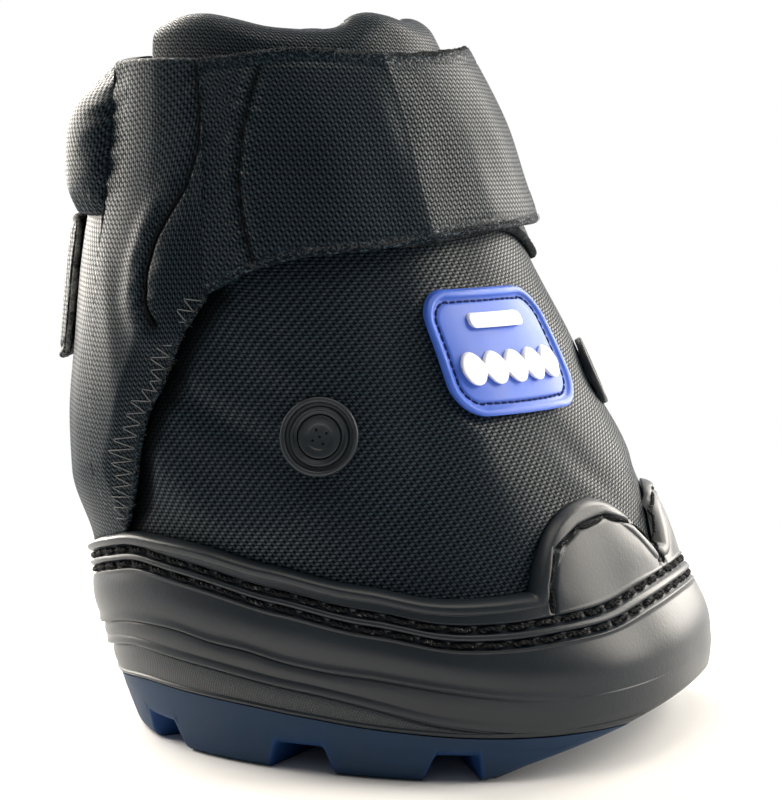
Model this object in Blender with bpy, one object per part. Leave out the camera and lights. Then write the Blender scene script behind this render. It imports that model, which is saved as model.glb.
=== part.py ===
"""Horse hoof boot: a moulded rubber shell on a lugged outsole, and a padded nylon upper closed by a strap.

Metres, +Z up, +X to the toe, -Y the near side. The origin is on the ground under the middle of the sole.
Every layer is placed by an angle round the boot in degrees (0 toe, -90 near, 90 far, 180 heel), a height,
and a stand: how far it lies outside the form, which is the smooth outer face of the nylon vamp.
"""

import math

import bmesh
import bpy
import numpy as np
from mathutils import Matrix, Vector

MM = 0.001

# The form
TOE_REACH = 75.9 * MM
HEEL_REACH = 70.3 * MM
HALF_WIDTH = 64.7 * MM
RIM_LEVEL = 43 * MM
UPPER_HEIGHT = 122 * MM
PASTERN_FRONT = 9.5 * MM
PASTERN_BACK = 67.5 * MM
PASTERN_HALF_WIDTH = 38.5 * MM
HEEL_BULGE = 4 * MM
SOLE_POWER = 2.35
TOP_POWER = 2.05
# Height, toe, heel and side of the foot of the form, as shares of the rim level and of the reaches
SHELL_FORM_SHARES = (
    (0, 0.93, 0.83, 0.965),
    (0.23, 0.985, 0.893, 0.985),
    (0.49, 1, 0.945, 1),
    (0.744, 0.948, 0.979, 1),
    (1, 0.871, 1, 0.977),
)
# Height, lean of the front, swell of the heel and narrowing of the sides, from the rim to the pastern
UPPER_FORM_SHARES = (
    (0.115, 0.11, 0.38, 0),
    (0.28, 0.29, 0.82, 0.09),
    (0.40, 0.41, 0.64, 0.18),
    (0.575, 0.61, 0.50, 0.41),
    (0.715, 0.735, 0.10, 0.60),
    (0.835, 0.82, 0, 0.76),
    (1, 1, 0, 1),
)

# Layers
LAYER_GAP = 0.3 * MM
SHELL_GAP = 0.5 * MM
RUBBER_WALL = 2.3 * MM
VAMP_THICKNESS = 1.3 * MM
LINING_THICKNESS = 3 * MM
FRONT_COLLAR_THICKNESS = 9.2 * MM
FLAP_THICKNESS = 1.8 * MM
GRIP_GAP = 0.45 * MM
GRIP_THICKNESS = 0.5 * MM
STRAP_THICKNESS = 2.2 * MM
STRAP_SEAM_STAND = 1.3 * MM
QUARTER_GAP = 0.5 * MM
QUARTER_THICKNESS = 5 * MM
QUARTER_EDGE_THICKNESS = 1.2 * MM
QUARTER_SWELL = 18 * MM
TAB_THICKNESS = 2 * MM

# Shell
SHELL_BOTTOM = 10.1 * MM
SHELL_FLOOR = 15.2 * MM
SHELL_LEDGE = 24.3 * MM
LEDGE_WIDTH = 5.5 * MM
RIM_BEAD = 0.5 * MM
RIM_ROLL = 1.7 * MM
RIM_BAND = 5.2 * MM
BAND_STEP = 0.4 * MM
STEP_SLOPE = 0.6 * MM
GROOVE_LOW = 34.6 * MM
GROOVE_RISE = 12 * MM
GROOVE_PITCH = 3.4 * MM
GROOVE_WIDTH = 2 * MM
GROOVE_DEPTH = 1.2 * MM
LOBE_ANGLE = 21.5
LOBE_HALF_ANGLE = 21.6
LOBE_RISE = 15.6 * MM
LOBE_POWER = 2.3
LOBE_THINNING = 1 * MM
LOBE_FACE_SHARES = (0.35, 0.7, 1)
STEP_1_LOW = 20 * MM
STEP_1_RISE = 10 * MM
STEP_2_LOW = 12.6 * MM
STEP_2_RISE = 11 * MM
STEP_3_LOW = 10.9 * MM
STEP_3_RISE = 4.2 * MM
# Angle from the toe and share of the rise; both sides are alike
GROOVE_SHARES = (
    (0, 0.38), (12, 0.33), (29, 0.13), (40, 0.07), (52, 0), (65, 0.03), (74, 0.20), (80, 0.28),
    (90, 0.52), (100, 0.78), (110, 0.93), (118, 1), (130, 0.82), (149, 0.45), (180, 0.33),
)
RIM_BAND_SHARES = ((0, 1.15), (65, 1.15), (90, 0.98), (103, 0.88), (118, 0.65), (139, 0.55), (180, 0.55))
STEP_1_SHARES = (
    (0, 0), (58, 0), (68, 0.17), (78, 0.35), (89, 0.5), (96, 0.74), (102, 0.83), (109, 0.98), (118, 1),
    (125, 0.93), (148, 0.42), (180, 0.25),
)
STEP_2_SHARES = (
    (0, 0), (62, 0), (69, 0.11), (79, 0.36), (90, 0.61), (97, 0.75), (103, 0.85), (111, 0.93), (121, 1),
    (153, 0.5), (180, 0.4),
)
STEP_3_SHARES = ((0, 0), (70, 0), (83, 0.25), (98, 0.75), (113, 0.95), (124, 1), (145, 0.4), (180, 0.2))
STEP_FADE_SHARES = ((0, 0), (43, 0), (58, 0.5), (75, 1), (180, 1))

# Outsole
LIP_WIDTH = 2.2 * MM
LUG_HEIGHT = 6.1 * MM
CHANNEL_DEPTH = 4.6 * MM
BAR_DEPTH = 3.8 * MM
BAR_WIDTH = 7 * MM
SOLE_EDGE = 0.6 * MM
BEVEL_START = 46 * MM
BEVEL_SLOPE = 0.42
OVERRUN = 6 * MM
NOTCH_ANGLES = ((59.5, 69.5), (87.5, 95.5), (118.5, 130), (155, 163))
NOTCH_INNER_SHARE = 0.64
CHANNEL_SHARES = (0.56, 0.67)
BAR_PLACE_SHARES = (-0.24, 0.2)
BAR_LENGTH_SHARE = 0.6

# Liner board and comfort pad
BOARD_THICKNESS = 1.5 * MM
BOARD_MARGIN = 0.6 * MM
PAD_THICKNESS = 9.7 * MM
PAD_MARGIN = 1 * MM
PAD_EDGE = 1.5 * MM

# Upper
VAMP_TOP = 122 * MM
VAMP_HALF_ANGLE = 150
FRONT_COLLAR_TOP = 171 * MM
FRONT_COLLAR_HALF_ANGLE = 119
FRONT_COLLAR_DIP = 4.4 * MM
# Angle from the toe and share of the dip: the collar's edge rises over the front and both sides
FRONT_COLLAR_DIP_SHARES = (
    (0, 0.35), (15, 0.05), (26, 0), (34, 0.3), (40, 0.75), (51, 1), (62, 0.97), (71, 0.85), (84, 0.42),
    (95, 0.12), (105, 0.15), (119, 0.6),
)
FRONT_COLLAR_ROUND_SHARE = 0.35
FRONT_COLLAR_ROUND_ROW_SHARES = (0.4, 0.75, 1)
SEAM_ANGLE = 93
CREASE_ANGLE = -37
JOINT_ANGLE = 0.5
STRAP_END_ANGLE = 20.5
STRAP_CORNER = 7 * MM
STRAP_TOP_LOW = 159.1 * MM
STRAP_TOP_RISE = 5.2 * MM
STRAP_BOTTOM_LOW = 105 * MM
STRAP_BOTTOM_RISE = 16 * MM
STRAP_TOP_SHARES = ((-118, 0), (-93, 0.12), (-61, 0.52), (-37, 0.31), (0, 0.7), (22, 1))
STRAP_BOTTOM_SHARES = (
    (-93, 0.06), (-84, 0.37), (-76, 0.52), (-50, 0.72), (-37, 0.825), (-22, 0.92), (0, 0.97), (22, 1),
)
STRAP_SETTLE_ANGLES = (-80, -50)
FLAP_END_ANGLE = -45
FLAP_TOP = 157.5 * MM
FLAP_BOTTOM_LOW = 105.9 * MM
FLAP_BOTTOM_RISE = 13.6 * MM
FLAP_BOTTOM_SHARES = (
    (-45, 0.78), (-22, 0.93), (0, 1), (10, 0.85), (22, 0.52), (50, 0.46), (76, 0.3), (93, 0),
)
GRIP_MARGIN = 6 * MM
LOOP_ANGLES = (-38, 40)
HOOK_ANGLES = (-34, 18)
QUARTER_TOP = 160 * MM
QUARTER_REAR_TOP = 124 * MM
QUARTER_STEP_ANGLE = 127
QUARTER_END_ANGLE = 178.5
QUARTER_BLEND_ANGLE = 16
QUARTER_FOOT_ANGLE = 122.5
# Angle from the toe and share of the way up from the rim to the strap, along the front edge of a quarter
QUARTER_EDGE_SHARES = (
    (93, 1), (96, 0.93), (100, 0.837), (103, 0.738), (106, 0.625), (109, 0.55), (114, 0.35), (117, 0.195),
    (120, 0.08), (122.5, 0),
)
QUARTER_ROW_SHARES = (0, 0.08, 0.2, 0.33, 0.46, 0.58, 0.7, 0.8, 0.9, 1)
COLLAR_START_ANGLE = 128.6
COLLAR_TOP = 161 * MM
COLLAR_DEPTH = 6 * MM
COLLAR_STAND = 12.5 * MM
# Share of the way up and share of the stand
COLLAR_SHARES = (
    (0, 0.58), (0.14, 0.84), (0.29, 0.98), (0.455, 1.04), (0.62, 1), (0.73, 0.86), (0.83, 0.58), (1, 0.05),
)
COLLAR_ROW_SHARES = (0, 0.06, 0.15, 0.3, 0.45, 0.6, 0.75, 0.9, 1)
COLLAR_END_SHARE = 0.25
COLLAR_END_STAND_SHARE = 0.55
TAB_BOTTOM = 87.5 * MM
TAB_TOP = 123 * MM
TAB_CORNER = 5 * MM
TAB_START_ANGLE = 140
TAB_END_ANGLE = 208
ANCHOR_START_ANGLE = 120
TAB_GRIP_MARGIN = 4 * MM
TAB_GRIP_ANGLES = (184, 206)
HINGE_PROUD = 0.4 * MM

# Vents
VENT_RADIUS = 8.8 * MM
VENT_HOLE_RADIUS = 6.3 * MM
VENT_BORE_RADIUS = 5.1 * MM
VENT_HEIGHT = 2 * MM
VENT_BEAD = 0.7 * MM
VENT_SAG = 1 * MM
WASHER_RADIUS = 8 * MM
WASHER_THICKNESS = 1 * MM
DISC_THICKNESS = 1.1 * MM
DISC_DISH = 0.6 * MM
DISC_DISH_SHARE = 0.55
DISC_FLAT_SHARE = 0.85
PIN_RADIUS = 0.5 * MM
PIN_RING = 2.1 * MM
PIN_COUNT = 4
VENT_PLACES = {"near": (-75.5, 75.3 * MM), "toe": (20, 83.4 * MM), "far": (75.5, 75.3 * MM)}
VENT_SIDES = 20
PIN_SIDES = 6

# Patch
PATCH_ANGLE = -23.5
PATCH_HALF_ANGLE = 20.5
PATCH_MIDDLE = 93 * MM
PATCH_HEIGHT = 28 * MM
PATCH_CORNER = 8 * MM
PATCH_THICKNESS = 1.4 * MM
PATCH_RIM_WIDTH = 1.6 * MM
PATCH_RIM_STAND = 0.7 * MM
PATCH_RIM_SHARE = 0.9
PATCH_RIM_ROW_SHARES = (0.5, 1.2)
PATCH_MIDDLE_ROW_SHARES = (0.3, 0.5, 0.7)
FIGURE_THICKNESS = 0.9 * MM
BAR_FIGURE_HALF_ANGLE = 9
BAR_FIGURE_HEIGHT = 3.4 * MM
BAR_FIGURE_RAISE = 7 * MM
CHAIN_HALF_ANGLE = 16
CHAIN_HEIGHT = 10 * MM
CHAIN_NECK = 1.6 * MM
CHAIN_DROP = 3.4 * MM
CHAIN_COUNT = 5
CHAIN_COLUMNS = 4

# Threads
THREAD_RADIUS = 0.45 * MM
THREAD_SIDES = 4
LOBE_THREAD_HALF_ANGLE = 18.2
LOBE_THREAD_RISE = 18.4 * MM

# Columns and rows of the meshes
COARSE_ANGLE = 7.5
FINE_ANGLE = 3
CORNER_ANGLE = 2
CHANNEL_ANGLE = 12
PATCH_ANGLE_STEP = 3.75
MEASURE_ANGLE = 1
SHARP_ANGLE = 40
ROW_HEIGHT = 10.9 * MM
INSIDE_ROW_SHARE = 0.25
LOBE_STEP_SHARE = 0.1
COUNT_SLACK = 1e-6
HALF_TURN = 180
FULL_TURN = 360


def remove_all():
    """Clear the scene, so that the boot is its only content."""
    for thing in list(bpy.data.objects):
        bpy.data.objects.remove(thing)


def material(name, colour, roughness, metallic=0.0):
    """A Principled material of one colour."""
    made = bpy.data.materials.new(name)
    made.use_nodes = True
    shader = made.node_tree.nodes["Principled BSDF"]
    shader.inputs["Base Color"].default_value = (*colour, 1)
    shader.inputs["Roughness"].default_value = roughness
    shader.inputs["Metallic"].default_value = metallic
    return made


def mix(start, end, share):
    """The value a share of the way from start to end."""
    return start + (end - start) * share


def ramp(value):
    """A smooth step from 0 to 1."""
    share = min(max(value, 0), 1)
    return share * share * (3 - 2 * share)


def smooth_row(rows, place):
    """A table read between its rows on a smooth curve, and straight on past its ends.

    The first column is the place. The curve through each pair of rows is a cubic whose slopes come from the
    rows on both sides.
    """
    table = np.array(rows, dtype=float)
    places = table[:, 0]
    slopes = np.gradient(table, places, axis=0)
    if place <= places[0]:
        return table[0] + slopes[0] * (place - places[0])
    if place >= places[-1]:
        return table[-1] + slopes[-1] * (place - places[-1])
    k = int(np.searchsorted(places, place, side="right")) - 1
    span = places[k + 1] - places[k]
    t = (place - places[k]) / span
    value = (2 * t**3 - 3 * t**2 + 1) * table[k] + (3 * t**2 - 2 * t**3) * table[k + 1]
    return value + span * ((t**3 - 2 * t**2 + t) * slopes[k] + (t**3 - t**2) * slopes[k + 1])


def side_share(rows, angle):
    """A share read at an angle from the toe: both sides alike, and smooth over the toe and the heel."""
    from_toe = abs((angle + HALF_TURN) % FULL_TURN - HALF_TURN)
    before = (-rows[1][0], rows[1][1])
    after = (2 * HALF_TURN - rows[-2][0], rows[-2][1])
    return smooth_row([before, *rows, after], from_toe)[1]


def form_rows():
    """Height, toe reach, heel reach, half width and power of the form, from the ground to the top."""
    rows = []
    for height, toe, heel, side in SHELL_FORM_SHARES:
        rows.append((height * RIM_LEVEL, toe * TOE_REACH, heel * HEEL_REACH, side * HALF_WIDTH, SOLE_POWER))
    _, rim_toe, rim_heel, rim_side, _ = rows[-1]
    for height, lean, bulge, narrowing in UPPER_FORM_SHARES:
        rows.append((
            RIM_LEVEL + height * UPPER_HEIGHT,
            mix(rim_toe, PASTERN_FRONT, lean),
            mix(rim_heel, PASTERN_BACK, height) + bulge * HEEL_BULGE,
            mix(rim_side, PASTERN_HALF_WIDTH, narrowing),
            mix(SOLE_POWER, TOP_POWER, height),
        ))
    return rows


FORM_ROWS = form_rows()


def on_form(angle, height, stand=0.0, share=1.0):
    """The point at an angle, a height and a stand; a share below 1 draws it in towards the middle.

    In plan the form is a rounded oval: each coordinate is a half size times the cosine or sine of the
    angle, raised to 2 over the power.
    """
    _, toe, heel, side, power = smooth_row(FORM_ROWS, height)
    turn = math.radians(angle)
    cosine, sine = math.cos(turn), math.sin(turn)
    along = share * ((toe + heel) / 2 + stand) * math.copysign(abs(cosine) ** (2 / power), cosine)
    across = share * (side + stand) * math.copysign(abs(sine) ** (2 / power), sine)
    return (toe - heel) / 2 + along, across, height


def spread(start, end, step):
    """Evenly spaced values from start to end, no further apart than step."""
    count = max(math.ceil(abs(end - start) / step - COUNT_SLACK), 1)
    return [mix(start, end, k / count) for k in range(count + 1)]


def ring_angles():
    """Angles once round the boot, closer together at the toe lobes."""
    fine = 2 * LOBE_HALF_ANGLE
    coarse = spread(fine, FULL_TURN - fine, COARSE_ANGLE)
    return spread(-fine, fine, FINE_ANGLE)[:-1] + coarse[:-1]


def new_object(name, points, faces, surface):
    """An object from points and faces, with its faces turned outwards and its round sides shaded smooth."""
    mesh = bpy.data.meshes.new(name)
    mesh.from_pydata([tuple(p) for p in points], [], faces)
    work = bmesh.new()
    work.from_mesh(mesh)
    bmesh.ops.recalc_face_normals(work, faces=work.faces)
    work.to_mesh(mesh)
    work.free()
    mesh.shade_smooth()
    mesh.set_sharp_from_angle(angle=math.radians(SHARP_ANGLE))
    mesh.materials.append(surface)
    thing = bpy.data.objects.new(name, mesh)
    bpy.context.scene.collection.objects.link(thing)
    return thing


def cup_solid(name, angles, profile, surface):
    """A solid whose wall profile changes round the boot; flat faces close its first and last rings."""
    rings = [[on_form(angle, height, stand) for stand, height in profile(angle)] for angle in angles]
    count, rows = len(angles), len(rings[0])
    points = [point for ring in rings for point in ring]
    faces = []
    for i in range(count):
        j = (i + 1) % count
        for k in range(rows - 1):
            faces.append((i * rows + k, j * rows + k, j * rows + k + 1, i * rows + k + 1))
    faces.append([i * rows for i in range(count)])
    faces.append([i * rows + rows - 1 for i in range(count)])
    return new_object(name, points, faces, surface)


def panel(name, surface, angles, low, high, inner, outer, shares=None):
    """A sheet bent round the form, as wide as the angles and as tall as low to high at each angle.

    inner and outer give its two stands at an angle and a height. shares are its rows from low to high.
    """
    if shares is None:
        tallest = max(high(angle) - low(angle) for angle in angles)
        shares = spread(0, 1, ROW_HEIGHT / tallest)
    count, rows = len(angles), len(shares)
    points = []
    for stand in (outer, inner):
        for angle in angles:
            for share in shares:
                height = mix(low(angle), high(angle), share)
                points.append(on_form(angle, height, stand(angle, height)))
    back = count * rows
    faces = []
    for i in range(count - 1):
        for k in range(rows - 1):
            a, b = i * rows + k, (i + 1) * rows + k
            faces.append((a, b, b + 1, a + 1))
            faces.append((back + a, back + a + 1, back + b + 1, back + b))
        for k in (0, rows - 1):
            a, b = i * rows + k, (i + 1) * rows + k
            faces.append((a, b, back + b, back + a))
    for i in (0, count - 1):
        for k in range(rows - 1):
            a = i * rows + k
            faces.append((a, a + 1, back + a + 1, back + a))
    return new_object(name, points, faces, surface)


def tube(name, surface, path, radius, sides, closed):
    """A round tube along a path of points, closed in a loop or capped at its ends."""
    places = np.array(path)
    if closed:
        ways = np.roll(places, -1, axis=0) - np.roll(places, 1, axis=0)
    else:
        ways = np.gradient(places, axis=0)
    ways /= np.linalg.norm(ways, axis=1)[:, None]
    level = np.cross(ways, (0, 0, 1))
    level /= np.linalg.norm(level, axis=1)[:, None]
    upright = np.cross(level, ways)
    points = []
    for place, across, up in zip(places, level, upright):
        for side in range(sides):
            turn = math.tau * side / sides
            points.append(place + radius * (math.cos(turn) * across + math.sin(turn) * up))
    faces = []
    count = len(places)
    for i in range(count if closed else count - 1):
        j = (i + 1) % count
        for side in range(sides):
            other = (side + 1) % sides
            faces.append((i * sides + side, j * sides + side, j * sides + other, i * sides + other))
    if not closed:
        faces.append(list(range(sides)))
        faces.append(list(range((count - 1) * sides, count * sides)))
    return new_object(name, points, faces, surface)


def prism(points, bottom, top):
    """The corners and faces of an upright prism over a plan outline."""
    count = len(points)
    corners = [(x, y, bottom) for x, y in points] + [(x, y, top) for x, y in points]
    faces = [list(range(count)), list(range(count, 2 * count))]
    for i in range(count):
        j = (i + 1) % count
        faces.append((i, j, count + j, count + i))
    return corners, faces


def cutter(name, solids, surface):
    """One object of several separate solids, kept out of the model and used only to cut."""
    points, faces = [], []
    for corners, sides in solids:
        faces += [[len(points) + i for i in side] for side in sides]
        points += corners
    thing = new_object(name, points, faces, surface)
    thing.hide_render = True
    thing.display_type = "WIRE"
    return thing


def cut(thing, tool):
    """Take the tool's shape out of a solid."""
    modifier = thing.modifiers.new(tool.name, "BOOLEAN")
    modifier.operation = "DIFFERENCE"
    modifier.solver = "EXACT"
    modifier.object = tool


def hinge(name, angle, low, high, stand):
    """An empty on a hinge line that runs up the boot at one angle."""
    foot = Vector(on_form(angle, low, stand))
    head = Vector(on_form(angle, high, stand))
    empty = bpy.data.objects.new(name, None)
    turn = (head - foot).to_track_quat("Z", "Y").to_matrix().to_4x4()
    empty.matrix_world = Matrix.Translation(foot) @ turn
    bpy.context.scene.collection.objects.link(empty)
    return empty


def hang(things, empty):
    """Parent pieces to a hinge's empty without moving them."""
    for thing in things:
        thing.parent = empty
        thing.matrix_parent_inverse = empty.matrix_world.inverted()


def groove_height(angle):
    """Height of the upper stitched groove round the rim."""
    return GROOVE_LOW + GROOVE_RISE * side_share(GROOVE_SHARES, angle)


def lobe_share(angle):
    """How far up its raised toe lobe the shell's edge is, from 0 beside a lobe to 1 at its crown."""
    from_lobe = abs(abs(angle) - LOBE_ANGLE) / LOBE_HALF_ANGLE
    return max(1 - from_lobe**LOBE_POWER, 0)


def rim_height(angle):
    """Height of the shell's edge, with its two raised toe lobes."""
    band = RIM_BAND * side_share(RIM_BAND_SHARES, angle)
    return groove_height(angle) + band + LOBE_RISE * lobe_share(angle)


def step_height(number, angle):
    """Height of one of the three stepped lines round the shell's wall, counted from the top."""
    low, rise, shares = {
        1: (STEP_1_LOW, STEP_1_RISE, STEP_1_SHARES),
        2: (STEP_2_LOW, STEP_2_RISE, STEP_2_SHARES),
        3: (STEP_3_LOW, STEP_3_RISE, STEP_3_SHARES),
    }[number]
    return low + rise * side_share(shares, angle)


def band_stand(number, angle):
    """Stand of the wall below a step; each band lies a little further in, less so towards the toe."""
    return SHELL_GAP + RUBBER_WALL - number * BAND_STEP * side_share(STEP_FADE_SHARES, angle)


def shell_profile(angle):
    """The shell's wall at an angle: up the outside over steps and grooves, and down the inside."""
    wall = band_stand(0, angle)
    seat = band_stand(3, angle) - LIP_WIDTH - LAYER_GAP
    lip_top = step_height(3, angle) + LAYER_GAP
    upper = groove_height(angle)
    lower = upper - GROOVE_PITCH
    rim = rim_height(angle)
    half_groove = GROOVE_WIDTH / 2
    step_1, step_2 = step_height(1, angle), step_height(2, angle)
    outside = [
        (seat, SHELL_BOTTOM),
        (seat, lip_top),
        (band_stand(2, angle), lip_top),
        (band_stand(2, angle), step_2),
        (band_stand(1, angle), step_2 + STEP_SLOPE),
        (band_stand(1, angle), step_1),
        (wall, step_1 + STEP_SLOPE),
        (wall, mix(step_1, lower, 0.5)),
    ]
    for groove in (lower, upper):
        outside += [
            (wall, groove - half_groove),
            (wall - GROOVE_DEPTH, groove),
            (wall, groove + half_groove),
        ]
    face_low, face_high = upper + half_groove, rim - RIM_ROLL
    thinning = LOBE_THINNING * lobe_share(angle)
    outside += [(wall - share * thinning, mix(face_low, face_high, share)) for share in LOBE_FACE_SHARES]
    edge = wall - thinning
    outside += [
        (edge + RIM_BEAD, rim - RIM_ROLL + RIM_BEAD),
        (edge + RIM_BEAD, rim - RIM_BEAD),
        (edge - RIM_BEAD, rim),
    ]
    inside = [(SHELL_GAP, mix(rim, SHELL_LEDGE, share)) for share in spread(0, 1, INSIDE_ROW_SHARE)]
    ledge_stand = SHELL_GAP - LEDGE_WIDTH
    return outside + inside + [(ledge_stand, SHELL_LEDGE), (ledge_stand, SHELL_FLOOR)]


def bevel_cutter(surface):
    """A wedge ahead of the sole, whose upper face is the slope that the toe rolls over."""
    start, far = BEVEL_START - OVERRUN / BEVEL_SLOPE, TOE_REACH + 4 * OVERRUN
    half = HALF_WIDTH + 2 * OVERRUN
    top = (far - BEVEL_START) * BEVEL_SLOPE
    outline = [(start, -OVERRUN), (far, -OVERRUN), (far, top)]
    corners = [(x, -half, z) for x, z in outline] + [(x, half, z) for x, z in outline]
    faces = [(0, 1, 2), (3, 4, 5), (0, 1, 4, 3), (1, 2, 5, 4), (2, 0, 3, 5)]
    return cutter("bevel_cutter", [(corners, faces)], surface)


def make_shell(surface, bevel):
    """The moulded rubber cup that holds the hoof."""
    shell = cup_solid("rubber_shell", ring_angles(), shell_profile, surface)
    cut(shell, bevel)


def tread_profile(angle):
    """The outsole's edge at an angle: up the outside and over the lip that the shell sits in."""
    stand = band_stand(3, angle)
    inside = stand - LIP_WIDTH
    lip = step_height(3, angle)
    return [
        (stand - SOLE_EDGE, 0.0),
        (stand, SOLE_EDGE),
        (stand, lip),
        (inside, lip),
        (inside, SHELL_BOTTOM - LAYER_GAP),
    ]


def notch_solid(start, end):
    """A tapered gap between two lugs, from inside the sole out past its edge."""
    out_share = 1 + OVERRUN / HALF_WIDTH * 2
    places = ((start, NOTCH_INNER_SHARE), (start, out_share), (end, out_share), (end, NOTCH_INNER_SHARE))
    outline = [on_form(angle, 0.0, 0.0, share)[:2] for angle, share in places]
    return prism(outline, -OVERRUN, LUG_HEIGHT)


def channel_solid(angles):
    """A ring-shaped channel in the sole that joins the notches."""
    rows = []
    for share in CHANNEL_SHARES:
        for height in (-OVERRUN, CHANNEL_DEPTH):
            rows.append([(*on_form(angle, 0.0, 0.0, share)[:2], height) for angle in angles])
    count = len(angles)
    faces = []
    for first, second in ((0, 1), (1, 3), (3, 2), (2, 0)):
        for i in range(count):
            j = (i + 1) % count
            faces.append((first * count + i, first * count + j, second * count + j, second * count + i))
    return [point for row in rows for point in row], faces


def bar_solid(share):
    """A straight channel across the middle of the sole."""
    middle, half = share * TOE_REACH, BAR_WIDTH / 2
    reach = BAR_LENGTH_SHARE * HALF_WIDTH
    low, high = middle - half, middle + half
    outline = [(low, -reach), (high, -reach), (high, reach), (low, reach)]
    return prism(outline, -OVERRUN, BAR_DEPTH)


def make_tread(surface, bevel):
    """The outsole: a plate with a lip round the shell's foot, and lugs between notches and channels."""
    tread = cup_solid("outsole_tread", ring_angles(), tread_profile, surface)
    notches = [notch_solid(*pair) for pair in NOTCH_ANGLES]
    notches += [notch_solid(-end, -start) for start, end in NOTCH_ANGLES]
    cut(tread, cutter("notch_cutter", notches, surface))
    cut(tread, cutter("channel_cutter", [channel_solid(spread(0, FULL_TURN, CHANNEL_ANGLE)[:-1])], surface))
    cut(tread, cutter("bar_cutter", [bar_solid(share) for share in BAR_PLACE_SHARES], surface))
    cut(tread, bevel)


def make_inside(board_surface, pad_surface):
    """The liner board on the shell's floor and the comfort pad on the board, both inside the ledge."""
    angles = spread(0, FULL_TURN, COARSE_ANGLE)[:-1]
    board_low = SHELL_FLOOR + LAYER_GAP
    board_high = board_low + BOARD_THICKNESS
    board_stand = SHELL_GAP - LEDGE_WIDTH - BOARD_MARGIN
    pad_low = board_high + LAYER_GAP
    pad_high = pad_low + PAD_THICKNESS
    pad_stand = SHELL_GAP - LEDGE_WIDTH - PAD_MARGIN

    def board(angle):
        return [(board_stand, board_low), (board_stand, board_high)]

    def pad(angle):
        return [
            (pad_stand - PAD_EDGE, pad_low),
            (pad_stand, pad_low + PAD_EDGE),
            (pad_stand, pad_high - PAD_EDGE),
            (pad_stand - PAD_EDGE, pad_high),
        ]

    cup_solid("liner_board", angles, board, board_surface)
    cup_solid("comfort_pad", angles, pad, pad_surface)


def vent_matrix(angle, height):
    """A frame on the form at a vent, with its Z axis straight out of the surface."""
    here = Vector(on_form(angle, height))
    across = Vector(on_form(angle + MEASURE_ANGLE, height)) - Vector(on_form(angle - MEASURE_ANGLE, height))
    up = Vector(on_form(angle, height + MM)) - Vector(on_form(angle, height - MM))
    out = across.cross(up).normalized()
    across.normalize()
    turn = Matrix((across, out.cross(across), out)).transposed()
    return Matrix.Translation(here) @ turn.to_4x4()


def turned(name, surface, profile, place, sides=VENT_SIDES):
    """A solid turned from (radius, height) points: a closed outline, or one that starts and ends on the axis."""
    whole = profile[0][0] == 0
    rows = profile[1:-1] if whole else profile
    points = []
    for radius, height in rows:
        for side in range(sides):
            turn = math.tau * side / sides
            points.append((radius * math.cos(turn), radius * math.sin(turn), height))
    faces = []
    last = len(rows) if not whole else len(rows) - 1
    for k in range(last):
        up = (k + 1) % len(rows)
        for side in range(sides):
            other = (side + 1) % sides
            faces.append((k * sides + side, k * sides + other, up * sides + other, up * sides + side))
    if whole:
        for k, (_, height) in ((0, profile[0]), (len(rows) - 1, profile[-1])):
            points.append((0, 0, height))
            pole = len(points) - 1
            faces += [(k * sides + side, k * sides + (side + 1) % sides, pole) for side in range(sides)]
    thing = new_object(name, points, faces, surface)
    thing.matrix_world = place
    return thing


def pin_cutter(name, surface, place):
    """Fine pins, one in the middle and the others round it, that pierce a vent's disc."""
    solids = []
    places = [(0, 0)]
    for k in range(PIN_COUNT):
        turn = math.tau * k / PIN_COUNT
        places.append((PIN_RING * math.cos(turn), PIN_RING * math.sin(turn)))
    for x, y in places:
        outline = []
        for side in range(PIN_SIDES):
            turn = math.tau * side / PIN_SIDES
            outline.append((x + PIN_RADIUS * math.cos(turn), y + PIN_RADIUS * math.sin(turn)))
        solids.append(prism(outline, -OVERRUN, OVERRUN))
    thing = cutter(name, solids, surface)
    thing.matrix_world = place
    return thing


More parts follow.
